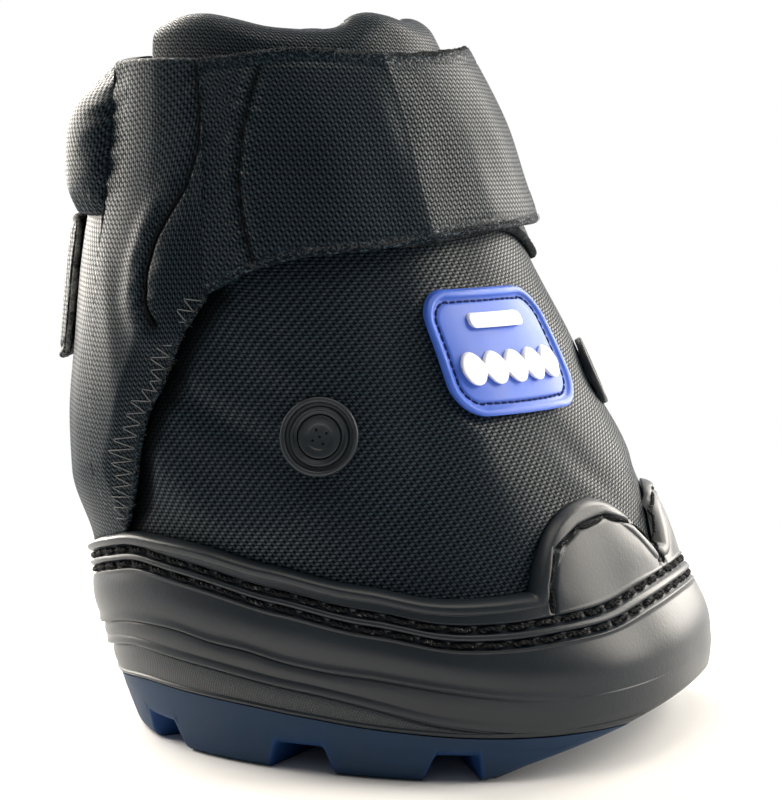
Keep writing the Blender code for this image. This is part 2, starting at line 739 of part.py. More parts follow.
def make_vent(side, surface, vamp, lining):
    """A vent: a beaded bezel whose barrel goes through the upper, with a dished disc and a washer."""
    place = vent_matrix(*VENT_PLACES[side])
    barrel = VENT_HOLE_RADIUS - LAYER_GAP
    lining_face = -(VAMP_THICKNESS + LAYER_GAP + LINING_THICKNESS)
    washer_top = lining_face - LAYER_GAP - VENT_SAG
    washer_low = washer_top - WASHER_THICKNESS
    bezel = [
        (VENT_BORE_RADIUS, washer_low),
        (barrel, washer_low),
        (barrel, LAYER_GAP),
        (VENT_RADIUS, LAYER_GAP),
        (VENT_RADIUS, VENT_HEIGHT - VENT_BEAD),
        (VENT_RADIUS - VENT_BEAD, VENT_HEIGHT),
        (barrel + VENT_BEAD, VENT_HEIGHT),
        (barrel, VENT_HEIGHT - VENT_BEAD),
        (VENT_BORE_RADIUS, VENT_HEIGHT - VENT_BEAD),
    ]
    turned(f"{side}_vent_bezel", surface, bezel, place)
    disc_radius = VENT_BORE_RADIUS - LAYER_GAP
    disc_top = VENT_HEIGHT - VENT_BEAD
    disc = [
        (0, disc_top - DISC_DISH),
        (disc_radius * DISC_DISH_SHARE, disc_top - DISC_DISH),
        (disc_radius * DISC_FLAT_SHARE, disc_top),
        (disc_radius, disc_top),
        (disc_radius, disc_top - DISC_THICKNESS),
        (0, disc_top - DISC_THICKNESS),
    ]
    disc_object = turned(f"{side}_vent_disc", surface, disc, place)
    cut(disc_object, pin_cutter(f"{side}_pin_cutter", surface, place))
    washer = [
        (VENT_HOLE_RADIUS, washer_low),
        (WASHER_RADIUS, washer_low),
        (WASHER_RADIUS, washer_top),
        (VENT_HOLE_RADIUS, washer_top),
    ]
    turned(f"{side}_vent_washer", surface, washer, place)
    outline = []
    for k in range(VENT_SIDES):
        turn = math.tau * k / VENT_SIDES
        outline.append((VENT_HOLE_RADIUS * math.cos(turn), VENT_HOLE_RADIUS * math.sin(turn)))
    hole = cutter(f"{side}_vent_cutter", [prism(outline, -2 * OVERRUN, OVERRUN)], surface)
    hole.matrix_world = place
    cut(vamp, hole)
    cut(lining, hole)


def steady(value):
    """A stand or a height that is the same everywhere."""
    return lambda *place: value


def make_vamp(cloth, foam):
    """The nylon front and sides of the upper, and the foam lining inside it."""
    angles = spread(-VAMP_HALF_ANGLE, VAMP_HALF_ANGLE, COARSE_ANGLE)
    foot = steady(SHELL_LEDGE + LAYER_GAP)
    top = steady(VAMP_TOP)
    vamp = panel("vamp_outer", cloth, angles, foot, top, steady(-VAMP_THICKNESS), steady(0.0))
    lining_stand = -VAMP_THICKNESS - LAYER_GAP
    lining = panel("vamp_lining", foam, angles, foot, top, steady(lining_stand - LINING_THICKNESS),
                   steady(lining_stand))
    return vamp, lining


def strap_top(angle):
    """Height of the strap's upper edge."""
    return STRAP_TOP_LOW + STRAP_TOP_RISE * smooth_row(STRAP_TOP_SHARES, angle)[1]


def strap_bottom(angle):
    """Height of the strap's lower edge."""
    return STRAP_BOTTOM_LOW + STRAP_BOTTOM_RISE * smooth_row(STRAP_BOTTOM_SHARES, angle)[1]


def flap_bottom(angle):
    """Height of the far flap's lower edge."""
    return FLAP_BOTTOM_LOW + FLAP_BOTTOM_RISE * smooth_row(FLAP_BOTTOM_SHARES, angle)[1]


FLAP_STAND = LAYER_GAP + FLAP_THICKNESS
LOOP_STAND = FLAP_STAND + GRIP_GAP
HOOK_STAND = LOOP_STAND + GRIP_THICKNESS + GRIP_GAP
STRAP_STAND = HOOK_STAND + GRIP_THICKNESS + GRIP_GAP


def strap_inner(angle, height):
    """Stand of the strap's inner face: on the grip patches in front, nearer the vamp at the seam."""
    start, end = STRAP_SETTLE_ANGLES
    return mix(STRAP_SEAM_STAND, STRAP_STAND, ramp((angle - start) / (end - start)))


def strap_outer(angle, height):
    """Stand of the strap's outer face."""
    return strap_inner(angle, height) + STRAP_THICKNESS


def arc_length(start, end, height):
    """Distance round the form between two angles at a height."""
    path = np.array([on_form(angle, height) for angle in spread(start, end, MEASURE_ANGLE)])
    return float(np.linalg.norm(np.diff(path, axis=0), axis=1).sum())


def corner_rise(distance, radius):
    """How far a rounded corner lifts an edge at a distance from the end of a piece."""
    into = min(max(1 - distance / radius, 0), 1)
    return radius * (1 - math.sqrt(1 - into * into))


def make_strap(cloth, grip):
    """The strap: a base sewn to the near quarter, and a tip with a hook patch that folds at the crease."""
    base_angles = spread(-SEAM_ANGLE, CREASE_ANGLE, COARSE_ANGLE)
    base = panel("strap_base", cloth, base_angles, strap_bottom, strap_top, strap_inner, strap_outer)
    tip_start = CREASE_ANGLE + JOINT_ANGLE
    middle = (strap_bottom(STRAP_END_ANGLE) + strap_top(STRAP_END_ANGLE)) / 2
    corner_angle = STRAP_END_ANGLE - STRAP_CORNER / arc_length(0, STRAP_END_ANGLE, middle) * STRAP_END_ANGLE

    def tip_bottom(angle):
        distance = arc_length(angle, STRAP_END_ANGLE, middle) if angle < STRAP_END_ANGLE else 0
        return strap_bottom(angle) + corner_rise(distance, STRAP_CORNER)

    tip_angles = spread(tip_start, corner_angle, COARSE_ANGLE)[:-1]
    tip_angles += spread(corner_angle, STRAP_END_ANGLE, CORNER_ANGLE)
    tip = panel("strap_tip", cloth, tip_angles, tip_bottom, strap_top, strap_inner, strap_outer)
    hook = panel(
        "strap_hook_patch", grip, spread(*HOOK_ANGLES, COARSE_ANGLE),
        lambda angle: strap_bottom(angle) + GRIP_MARGIN, lambda angle: strap_top(angle) - GRIP_MARGIN,
        steady(HOOK_STAND), steady(HOOK_STAND + GRIP_THICKNESS),
    )
    proud = STRAP_THICKNESS + HINGE_PROUD
    base_hinge = hinge("strap_hinge", -SEAM_ANGLE, strap_bottom(-SEAM_ANGLE), strap_top(-SEAM_ANGLE),
                       STRAP_SEAM_STAND + proud)
    tip_hinge = hinge("strap_tip_hinge", CREASE_ANGLE, strap_bottom(CREASE_ANGLE), strap_top(CREASE_ANGLE),
                      STRAP_STAND + proud)
    hang([base, tip_hinge], base_hinge)
    hang([tip, hook], tip_hinge)


def make_flap(cloth, grip):
    """The far flap that passes under the strap, with the loop patch on its outside."""
    angles = spread(FLAP_END_ANGLE, SEAM_ANGLE, COARSE_ANGLE)
    flap = panel(
        "far_flap", cloth, angles, flap_bottom, steady(FLAP_TOP), steady(LAYER_GAP), steady(FLAP_STAND),
    )
    loop = panel(
        "flap_loop_patch", grip, spread(*LOOP_ANGLES, COARSE_ANGLE),
        lambda angle: max(flap_bottom(angle), strap_bottom(min(angle, STRAP_END_ANGLE))) + GRIP_MARGIN,
        steady(FLAP_TOP - GRIP_MARGIN / 2),
        steady(LOOP_STAND), steady(LOOP_STAND + GRIP_THICKNESS),
    )
    empty = hinge("far_flap_hinge", SEAM_ANGLE, flap_bottom(SEAM_ANGLE), FLAP_TOP, FLAP_STAND + HINGE_PROUD)
    hang([flap, loop], empty)


def round_over(share, depth):
    """How much of its thickness a padded piece keeps near an edge, on a quarter of an oval."""
    into = max(1 - min(share, 1 - share) / depth, 0)
    return math.sqrt(max(1 - into * into, 0))


def make_front_collar(cloth):
    """The padded front collar inside the wrap, which stands above the strap and is rounded at its top."""
    angles = spread(-FRONT_COLLAR_HALF_ANGLE, FRONT_COLLAR_HALF_ANGLE, COARSE_ANGLE)
    low = VAMP_TOP + LAYER_GAP
    outer_stand, middle_stand = -LAYER_GAP, -LAYER_GAP - FRONT_COLLAR_THICKNESS / 2
    round_height = FRONT_COLLAR_ROUND_SHARE * FRONT_COLLAR_THICKNESS

    def high(angle):
        return FRONT_COLLAR_TOP - FRONT_COLLAR_DIP * side_share(FRONT_COLLAR_DIP_SHARES, angle)

    def full(angle, height):
        left = min(max(high(angle) - height, 0) / round_height, 1)
        return mix(FRONT_COLLAR_ROUND_SHARE, 1, math.sqrt(1 - (1 - left) ** 2))

    body = spread(0, 1 - round_height / (FRONT_COLLAR_TOP - low), ROW_HEIGHT / (FRONT_COLLAR_TOP - low))
    shares = body + [mix(body[-1], 1, part) for part in FRONT_COLLAR_ROUND_ROW_SHARES]
    panel(
        "front_collar_pad", cloth, angles, steady(low), high,
        lambda angle, height: middle_stand - full(angle, height) * FRONT_COLLAR_THICKNESS / 2,
        lambda angle, height: middle_stand + full(angle, height) * (outer_stand - middle_stand), shares,
    )


def quarter_low(angle):
    """Height of a quarter's lower edge: up the vamp from the rim to the strap, and along the rim behind."""
    from_toe = abs(angle)
    rim = rim_height(angle) + LAYER_GAP
    if from_toe >= QUARTER_FOOT_ANGLE:
        return rim
    foot = rim_height(QUARTER_FOOT_ANGLE) + LAYER_GAP
    return mix(foot, strap_bottom(-SEAM_ANGLE), smooth_row(QUARTER_EDGE_SHARES, from_toe)[1])


def quarter_high(angle):
    """Height of a quarter's upper edge, which drops behind to make room for the collar pad."""
    if abs(angle) > QUARTER_STEP_ANGLE:
        return QUARTER_REAR_TOP
    return mix(strap_top(-SEAM_ANGLE), QUARTER_TOP, ramp((abs(angle) - SEAM_ANGLE) / QUARTER_BLEND_ANGLE))


def make_quarter(side, sign, edge_stand, cloth):
    """A rear side panel, padded, with a thin front edge that climbs the vamp to the strap's seam."""
    padded = QUARTER_GAP + QUARTER_THICKNESS
    thin = QUARTER_GAP + QUARTER_EDGE_THICKNESS

    def outer(angle, height):
        full = mix(edge_stand, padded, ramp((abs(angle) - SEAM_ANGLE) / QUARTER_BLEND_ANGLE))
        return mix(thin, full, ramp((height - quarter_low(angle)) / QUARTER_SWELL))

    front = spread(SEAM_ANGLE + JOINT_ANGLE, QUARTER_FOOT_ANGLE, FINE_ANGLE)
    rear = spread(QUARTER_STEP_ANGLE + JOINT_ANGLE, QUARTER_END_ANGLE, COARSE_ANGLE)
    angles = [sign * angle for angle in front + [QUARTER_STEP_ANGLE] + rear]
    panel(f"{side}_quarter", cloth, angles, quarter_low, quarter_high, steady(QUARTER_GAP), outer,
          QUARTER_ROW_SHARES)


def make_collar(side, sign, cloth):
    """A rear collar pad, a stuffed roll that stands out over the heel."""
    low = QUARTER_REAR_TOP + LAYER_GAP
    angles = [sign * angle for angle in spread(COLLAR_START_ANGLE, QUARTER_END_ANGLE, COARSE_ANGLE)]

    def outer(angle, height):
        share = (height - low) / (COLLAR_TOP - low)
        along = (abs(angle) - COLLAR_START_ANGLE) / (QUARTER_END_ANGLE - COLLAR_START_ANGLE)
        ends = round_over(along, COLLAR_END_SHARE)
        return mix(COLLAR_END_STAND_SHARE, 1, ends) * COLLAR_STAND * smooth_row(COLLAR_SHARES, share)[1]

    panel(
        f"{side}_collar_pad", cloth, angles, steady(low), steady(COLLAR_TOP), steady(-COLLAR_DEPTH), outer,
        COLLAR_ROW_SHARES,
    )


def make_heel_tab(cloth, grip):
    """The tab across the rear split, its anchor on the far quarter, and the loop and hook that hold it."""
    loop_stand = QUARTER_GAP + QUARTER_THICKNESS + LAYER_GAP
    hook_stand = loop_stand + GRIP_THICKNESS + GRIP_GAP
    tab_stand = hook_stand + GRIP_THICKNESS + LAYER_GAP
    tab_top_stand = tab_stand + TAB_THICKNESS
    panel(
        "heel_tab_anchor", cloth, spread(ANCHOR_START_ANGLE, TAB_START_ANGLE, COARSE_ANGLE),
        steady(TAB_BOTTOM), steady(TAB_TOP), steady(loop_stand), steady(tab_top_stand),
    )
    middle = (TAB_BOTTOM + TAB_TOP) / 2
    degree = arc_length(HALF_TURN, TAB_END_ANGLE, middle) / (TAB_END_ANGLE - HALF_TURN)
    corner_angle = TAB_END_ANGLE - TAB_CORNER / degree

    def corner(angle):
        return corner_rise((TAB_END_ANGLE - angle) * degree, TAB_CORNER)

    angles = spread(TAB_START_ANGLE + JOINT_ANGLE, corner_angle, COARSE_ANGLE)[:-1]
    angles += spread(corner_angle, TAB_END_ANGLE, CORNER_ANGLE)
    tab = panel(
        "heel_tab", cloth, angles,
        lambda angle: TAB_BOTTOM + corner(angle), lambda angle: TAB_TOP - corner(angle),
        steady(tab_stand), steady(tab_top_stand),
    )
    hook, loop = [
        panel(
            name, grip, spread(*TAB_GRIP_ANGLES, COARSE_ANGLE),
            steady(TAB_BOTTOM + TAB_GRIP_MARGIN), steady(TAB_TOP - TAB_GRIP_MARGIN),
            steady(stand), steady(stand + GRIP_THICKNESS),
        )
        for name, stand in (("heel_hook_patch", hook_stand), ("heel_loop_patch", loop_stand))
    ]
    empty = hinge("heel_tab_hinge", TAB_START_ANGLE, TAB_BOTTOM, TAB_TOP, tab_top_stand + HINGE_PROUD)
    hang([tab, hook], empty)


def make_patch(blue, white):
    """The sewn rubber patch on the front: a plate with a raised rim, a bar and a chain of lozenges."""
    degree = arc_length(PATCH_ANGLE - PATCH_HALF_ANGLE, PATCH_ANGLE + PATCH_HALF_ANGLE, PATCH_MIDDLE)
    degree /= 2 * PATCH_HALF_ANGLE
    ends = (PATCH_ANGLE - PATCH_HALF_ANGLE, PATCH_ANGLE + PATCH_HALF_ANGLE)

    def to_end(angle):
        return (PATCH_HALF_ANGLE - abs(angle - PATCH_ANGLE)) * degree

    def half_height(angle):
        return PATCH_HEIGHT / 2 - corner_rise(to_end(angle), PATCH_CORNER)

    face = LAYER_GAP + PATCH_THICKNESS

    def outer(angle, height):
        to_edge = min(to_end(angle), half_height(angle) - abs(height - PATCH_MIDDLE))
        return face + (PATCH_RIM_STAND if to_edge < PATCH_RIM_SHARE * PATCH_RIM_WIDTH else 0)

    near = PATCH_RIM_WIDTH / degree
    corner = PATCH_CORNER / degree
    side = [0, 0.5 * near, near, mix(near, corner, 0.5), corner]
    angles = [ends[0] + step for step in side]
    angles += spread(ends[0] + corner, ends[1] - corner, PATCH_ANGLE_STEP)[1:-1]
    angles += [ends[1] - step for step in reversed(side)]
    rim_rows = [share * PATCH_RIM_WIDTH / PATCH_HEIGHT for share in PATCH_RIM_ROW_SHARES]
    panel(
        "patch_base", blue, angles,
        lambda angle: PATCH_MIDDLE - half_height(angle), lambda angle: PATCH_MIDDLE + half_height(angle),
        steady(LAYER_GAP), outer,
        [0, *rim_rows, *PATCH_MIDDLE_ROW_SHARES, *[1 - share for share in reversed(rim_rows)], 1],
    )
    figure_low, figure_high = steady(face + LAYER_GAP), steady(face + LAYER_GAP + FIGURE_THICKNESS)
    bar_middle = PATCH_MIDDLE + BAR_FIGURE_RAISE
    bar_ends = (PATCH_ANGLE - BAR_FIGURE_HALF_ANGLE, PATCH_ANGLE + BAR_FIGURE_HALF_ANGLE)
    panel(
        "patch_bar", white, spread(*bar_ends, PATCH_ANGLE_STEP),
        steady(bar_middle - BAR_FIGURE_HEIGHT / 2), steady(bar_middle + BAR_FIGURE_HEIGHT / 2),
        figure_low, figure_high, (0, 1),
    )
    chain_middle = PATCH_MIDDLE - CHAIN_DROP
    link = 2 * CHAIN_HALF_ANGLE / CHAIN_COUNT

    def chain_half(angle):
        along = (angle - PATCH_ANGLE + CHAIN_HALF_ANGLE) / link
        from_middle = abs(2 * (along % 1) - 1) if 0 < along < CHAIN_COUNT else 1
        return mix(CHAIN_HEIGHT, CHAIN_NECK, from_middle) / 2

    chain_ends = (PATCH_ANGLE - CHAIN_HALF_ANGLE, PATCH_ANGLE + CHAIN_HALF_ANGLE)
    panel(
        "patch_lozenges", white, spread(*chain_ends, link / CHAIN_COLUMNS),
        lambda angle: chain_middle - chain_half(angle), lambda angle: chain_middle + chain_half(angle),
        figure_low, figure_high, (0, 1),
    )


def make_threads(surface):
    """Two threads round the rim in their grooves, and one round the inside of each toe lobe."""
    in_groove = SHELL_GAP + RUBBER_WALL - GROOVE_DEPTH + 2 * THREAD_RADIUS + LAYER_GAP
    for name, drop in (("rim_thread_upper", 0.0), ("rim_thread_lower", GROOVE_PITCH)):
        around = spread(0, FULL_TURN, COARSE_ANGLE)[:-1]
        path = [on_form(angle, groove_height(angle) - drop, in_groove) for angle in around]
        tube(name, surface, path, THREAD_RADIUS, THREAD_SIDES, True)
    on_lobe = SHELL_GAP + RUBBER_WALL + LAYER_GAP + THREAD_RADIUS
    start_rise = GROOVE_WIDTH / 2 + LAYER_GAP + 2 * THREAD_RADIUS
    for side, sign in (("near", -1), ("far", 1)):
        path = []
        for step in spread(-1, 1, LOBE_STEP_SHARE):
            angle = LOBE_ANGLE + LOBE_THREAD_HALF_ANGLE * math.sin(step * math.pi / 2)
            rise = max(1 - abs(math.sin(step * math.pi / 2)) ** LOBE_POWER, 0)
            height = groove_height(angle) + mix(start_rise, LOBE_THREAD_RISE, rise)
            path.append(on_form(sign * angle, height, on_lobe))
        tube(f"{side}_lobe_thread", surface, path, THREAD_RADIUS, THREAD_SIDES, False)


def main():
    """Build the boot."""
    remove_all()
    rubber = material("black rubber", (0.035, 0.036, 0.04), 0.45)
    sole_rubber = material("navy sole rubber", (0.03, 0.045, 0.09), 0.5)
    cloth = material("black ballistic nylon", (0.022, 0.023, 0.028), 0.6)
    foam = material("foam lining", (0.05, 0.05, 0.055), 0.9)
    board = material("liner board", (0.25, 0.25, 0.24), 0.8)
    grip = material("hook and loop", (0.015, 0.015, 0.016), 0.95)
    plastic = material("vent rubber", (0.02, 0.021, 0.024), 0.4)
    blue = material("blue patch rubber", (0.05, 0.13, 0.55), 0.45)
    white = material("white patch rubber", (0.85, 0.86, 0.9), 0.5)
    thread = material("black thread", (0.01, 0.01, 0.012), 0.7)

    bevel = bevel_cutter(sole_rubber)
    make_shell(rubber, bevel)
    make_tread(sole_rubber, bevel)
    make_inside(board, foam)
    vamp, lining = make_vamp(cloth, foam)
    for side in VENT_PLACES:
        make_vent(side, plastic, vamp, lining)
    make_front_collar(cloth)
    make_quarter("near", -1, STRAP_SEAM_STAND + STRAP_THICKNESS, cloth)
    make_quarter("far", 1, FLAP_STAND, cloth)
    make_strap(cloth, grip)
    make_flap(cloth, grip)
    make_collar("near", -1, cloth)
    make_collar("far", 1, cloth)
    make_heel_tab(cloth, grip)
    make_patch(blue, white)
    make_threads(thread)


main()
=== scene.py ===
"""Hoof boot: detailed pieces, their finishes and the studio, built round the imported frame.

Metres, +Z up, +X to the toe, -Y the near side. Every layer is placed as in the part's source, by an angle
round the boot in degrees (0 toe, -90 near, 90 far, 180 heel), a height, and a stand, which is how far it
lies outside the form, the smooth outer face of the vamp.
"""

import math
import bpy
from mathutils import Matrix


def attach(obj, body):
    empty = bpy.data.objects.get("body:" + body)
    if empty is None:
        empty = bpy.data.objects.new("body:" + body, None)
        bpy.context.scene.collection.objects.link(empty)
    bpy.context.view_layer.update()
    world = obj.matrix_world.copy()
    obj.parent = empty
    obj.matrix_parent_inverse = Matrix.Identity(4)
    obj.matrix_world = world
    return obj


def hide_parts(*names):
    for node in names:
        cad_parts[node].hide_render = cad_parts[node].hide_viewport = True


bl_info = {
    "name": "Hoof Boot Pieces",
    "version": (1, 0, 0),
    "blender": (4, 5, 0),
    "location": "View3D > Sidebar > Hoof Boot",
    "description": "Builds the cloth, rubber and stitching of a hoof boot round its packed frame",
    "category": "Add Mesh",
}

import bpy
import numpy as np
from bpy.props import FloatProperty, FloatVectorProperty, IntProperty, PointerProperty
from mathutils import Vector

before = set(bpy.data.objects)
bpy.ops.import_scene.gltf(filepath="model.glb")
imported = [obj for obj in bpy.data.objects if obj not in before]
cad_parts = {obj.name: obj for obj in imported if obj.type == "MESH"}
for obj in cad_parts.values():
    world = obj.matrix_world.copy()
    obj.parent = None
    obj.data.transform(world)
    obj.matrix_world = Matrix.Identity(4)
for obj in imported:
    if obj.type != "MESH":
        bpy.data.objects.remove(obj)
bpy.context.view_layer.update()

MM = 0.001
HALF_TURN = 180.0

# Tables of shares, as in the part's source. Height, toe, heel and side of the foot of the form
SOLE_POWER = 2.35
TOP_POWER = 2.05
SHELL_FORM_SHARES = (
    (0, 0.93, 0.83, 0.965),
    (0.23, 0.985, 0.893, 0.985),
    (0.49, 1, 0.945, 1),
    (0.744, 0.948, 0.979, 1),
    (1, 0.871, 1, 0.977),
)
# Height, lean of the front, swell of the heel and narrowing of the sides
UPPER_FORM_SHARES = (
    (0.115, 0.11, 0.38, 0),
    (0.28, 0.29, 0.82, 0.09),
    (0.40, 0.41, 0.64, 0.18),
    (0.575, 0.61, 0.50, 0.41),
    (0.715, 0.735, 0.10, 0.60),
    (0.835, 0.82, 0, 0.76),
    (1, 1, 0, 1),
)
# Angle from the toe and share of the rise; both sides are alike
GROOVE_SHARES = (
    (0, 0.38), (12, 0.33), (29, 0.13), (40, 0.07), (52, 0), (65, 0.03), (74, 0.20), (80, 0.28),
    (90, 0.52), (100, 0.78), (110, 0.93), (118, 1), (130, 0.82), (149, 0.45), (180, 0.33),
)
RIM_BAND_SHARES = ((0, 1.15), (65, 1.15), (90, 0.98), (103, 0.88), (118, 0.65), (139, 0.55), (180, 0.55))
STEP_1_SHARES = (
    (0, 0), (58, 0), (68, 0.17), (78, 0.35), (89, 0.5), (96, 0.74), (102, 0.83), (109, 0.98), (118, 1),
    (125, 0.93), (148, 0.42), (180, 0.25),
)
STEP_2_SHARES = (
    (0, 0), (62, 0), (69, 0.11), (79, 0.36), (90, 0.61), (97, 0.75), (103, 0.85), (111, 0.93), (121, 1),
    (153, 0.5), (180, 0.4),
)
STEP_3_SHARES = ((0, 0), (70, 0), (83, 0.25), (98, 0.75), (113, 0.95), (124, 1), (145, 0.4), (180, 0.2))
STEP_FADE_SHARES = ((0, 0), (43, 0), (58, 0.5), (75, 1), (180, 1))
FRONT_COLLAR_DIP_SHARES = (
    (0, 0.35), (15, 0.05), (26, 0), (34, 0.3), (40, 0.75), (51, 1), (62, 0.97), (71, 0.85), (84, 0.42),
    (95, 0.12), (105, 0.15), (119, 0.6),
)
STRAP_TOP_SHARES = ((-118, 0), (-93, 0.12), (-61, 0.52), (-37, 0.31), (0, 0.7), (22, 1))
STRAP_BOTTOM_SHARES = (
    (-93, 0.06), (-84, 0.37), (-76, 0.52), (-50, 0.72), (-37, 0.825), (-22, 0.92), (0, 0.97), (22, 1),
)
FLAP_BOTTOM_SHARES = (
    (-45, 0.78), (-22, 0.93), (0, 1), (10, 0.85), (22, 0.52), (50, 0.46), (76, 0.3), (93, 0),
)
QUARTER_EDGE_SHARES = (
    (93, 1), (96, 0.93), (100, 0.837), (103, 0.738), (106, 0.625), (109, 0.55), (114, 0.35), (117, 0.195),
    (120, 0.08), (122.5, 0),
)
COLLAR_SHARES = (
    (0, 0.58), (0.14, 0.84), (0.29, 0.98), (0.455, 1.04), (0.62, 1), (0.73, 0.86), (0.83, 0.58), (1, 0.05),
)
NOTCH_ANGLES = ((59.5, 69.5), (87.5, 95.5), (118.5, 130), (155, 163))
# Angle from the middle of a toe lobe and share of its rise, at each hole of its stitching
LOBE_STITCH_SHARES = (
    (-22.4, 0.12), (-20.1, 0.45), (-15, 0.84), (-6, 1.09), (3.8, 1.11), (12.4, 0.91), (17, 0.44),
    (18.5, 0.12),
)
# Angle from the toe and height in millimetres along the quarter's seam
QUARTER_SEAM = (
    (94.4, 158), (94.4, 148), (94.8, 139), (98, 130), (102, 124), (104.8, 119), (107, 112), (107.6, 104),
    (105.5, 99),
)
# Angle and height in millimetres along the edge of the strap's sewn box
BOX_SEAM = ((-82, 112), (-83, 117), (-84.2, 124), (-84.5, 133), (-82.8, 143), (-79.3, 151), (-75.5, 157))
CHANNEL_SHARES = (0.56, 0.67)
BAR_PLACE_SHARES = (-0.24, 0.2)
# Angle and height in millimetres of each vent's middle
VENT_PLACES = {"near": (-75.5, 75.3), "toe": (20, 83.4), "far": (75.5, 75.3)}
GROOVE_SHOULDER = 0.25 * MM
# Rise over a stepped line in millimetres, share of the way from the lower stand to the upper, and bead in
# millimetres, up the edge of a step
STEP_EDGE = (
    (-0.35, 0, -0.12), (-0.15, 0, -0.18), (-0.03, 0.15, -0.1), (0.04, 0.6, 0), (0.12, 0.95, 0.1),
    (0.28, 1, 0.22), (0.5, 1, 0.27), (0.8, 1, 0.25), (1.2, 1, 0.18), (1.9, 1, 0.07),
)
# Half the length of the patch's chain in degrees
CHAIN_HALF_ANGLE = 16.0
# Radius and depth under the face, in millimetres, of a vent's disc and of its washer
VENT_DISC = (
    (0, 0.5), (1.2, 0.49), (2.55, 0.44), (2.75, 0.38), (2.95, 0.2), (3.15, 0.14), (3.9, 0.04), (4.5, 0),
    (4.72, 0.05), (4.8, 0.16), (4.8, 1.1), (0, 1.1),
)
VENT_WASHER = ((6.3, 1), (7.8, 1), (8, 0.8), (8, 0.2), (7.8, 0), (6.3, 0))
# Middle angle, middle height in millimetres, lean, width in degrees, and height and depth in millimetres of
# each of the vamp's folds
VAMP_FOLDS = (
    (-80, 92, -0.8, 7, 15, 1.4), (-97, 80, -1.3, 6, 14, -1.4), (-106, 64, -0.6, 7, 12, 1.3),
    (-62, 62, 0.5, 7, 11, -0.7), (-40, 88, 0.05, 6, 24, 1.0), (-53, 88, 0.1, 6, 22, -0.7),
    (-86, 58, 0.9, 6, 9, 0.7), (-12, 66, -0.5, 6, 11, -0.7), (4, 64, 0.3, 6, 10, 0.7),
    (-26, 116, 0.4, 6, 8, 0.8), (34, 88, 0.3, 6, 14, 0.8), (52, 72, -0.3, 7, 14, -0.8),
    (84, 96, 0.7, 6, 15, 1.0), (99, 78, 1.1, 6, 14, -1.0), (66, 60, -0.4, 7, 11, 0.8),
    (112, 64, 0.5, 7, 13, 0.9), (-126, 80, 0.3, 6, 16, 0.6),
)
# Name, azimuth and elevation in degrees, distance, width and height in metres, and power in watts
LAMPS = (
    ("left softbox", -96, 24, 0.95, 0.42, 0.8, 14.0),
    ("rear left softbox", -126, 22, 0.95, 0.42, 0.8, 16.0),
    ("right softbox", 112, 26, 0.95, 0.42, 0.8, 9.5),
    ("rear right softbox", 155, 22, 0.95, 0.42, 0.8, 10.0),
    ("top softbox", 22, 80, 1.0, 0.7, 0.7, 4.0),
)
LAMP_TINT = (1, 0.935, 0.84)
LAMP_TARGET = 80 * MM
WHITE = (1.0, 1.0, 1.0)


def length(name, description, millimetres):
    """A size that the user can change, kept in metres."""
    return FloatProperty(name=name, description=description, default=millimetres * MM, unit="LENGTH",
                         subtype="DISTANCE", precision=5)


def turn(name, description, default):
    """An angle round the boot in degrees."""
    return FloatProperty(name=name, description=description, default=default)


def share(name, description, default):
    """A share from 0 to 1."""
    return FloatProperty(name=name, description=description, default=default, subtype="FACTOR", min=0, max=1)


def colour(name, description, default):
    """A colour."""
    return FloatVectorProperty(name=name, description=description, default=default, subtype="COLOR", size=3,
                               min=0, max=1)


class BootForm(bpy.types.PropertyGroup):
    """Sizes of the form that every layer follows."""

    toe_reach: length("Toe reach", "From the middle to the toe at its widest", 75.9)
    heel_reach: length("Heel reach", "From the middle to the heel at the rim", 70.3)
    half_width: length("Half width", "Half the width of the sole", 64.7)
    rim_level: length("Rim level", "Height at which the upper's form starts", 43)
    upper_height: length("Upper height", "Height of the form above the rim", 122)
    pastern_front: length("Pastern front", "Reach of the form's top to the front", 9.5)
    pastern_back: length("Pastern back", "Reach of the form's top to the back", 67.5)
    pastern_half_width: length("Pastern half width", "Half the width of the form's top", 38.5)
    heel_bulge: length("Heel bulge", "Swell of the upper over the heel", 4)


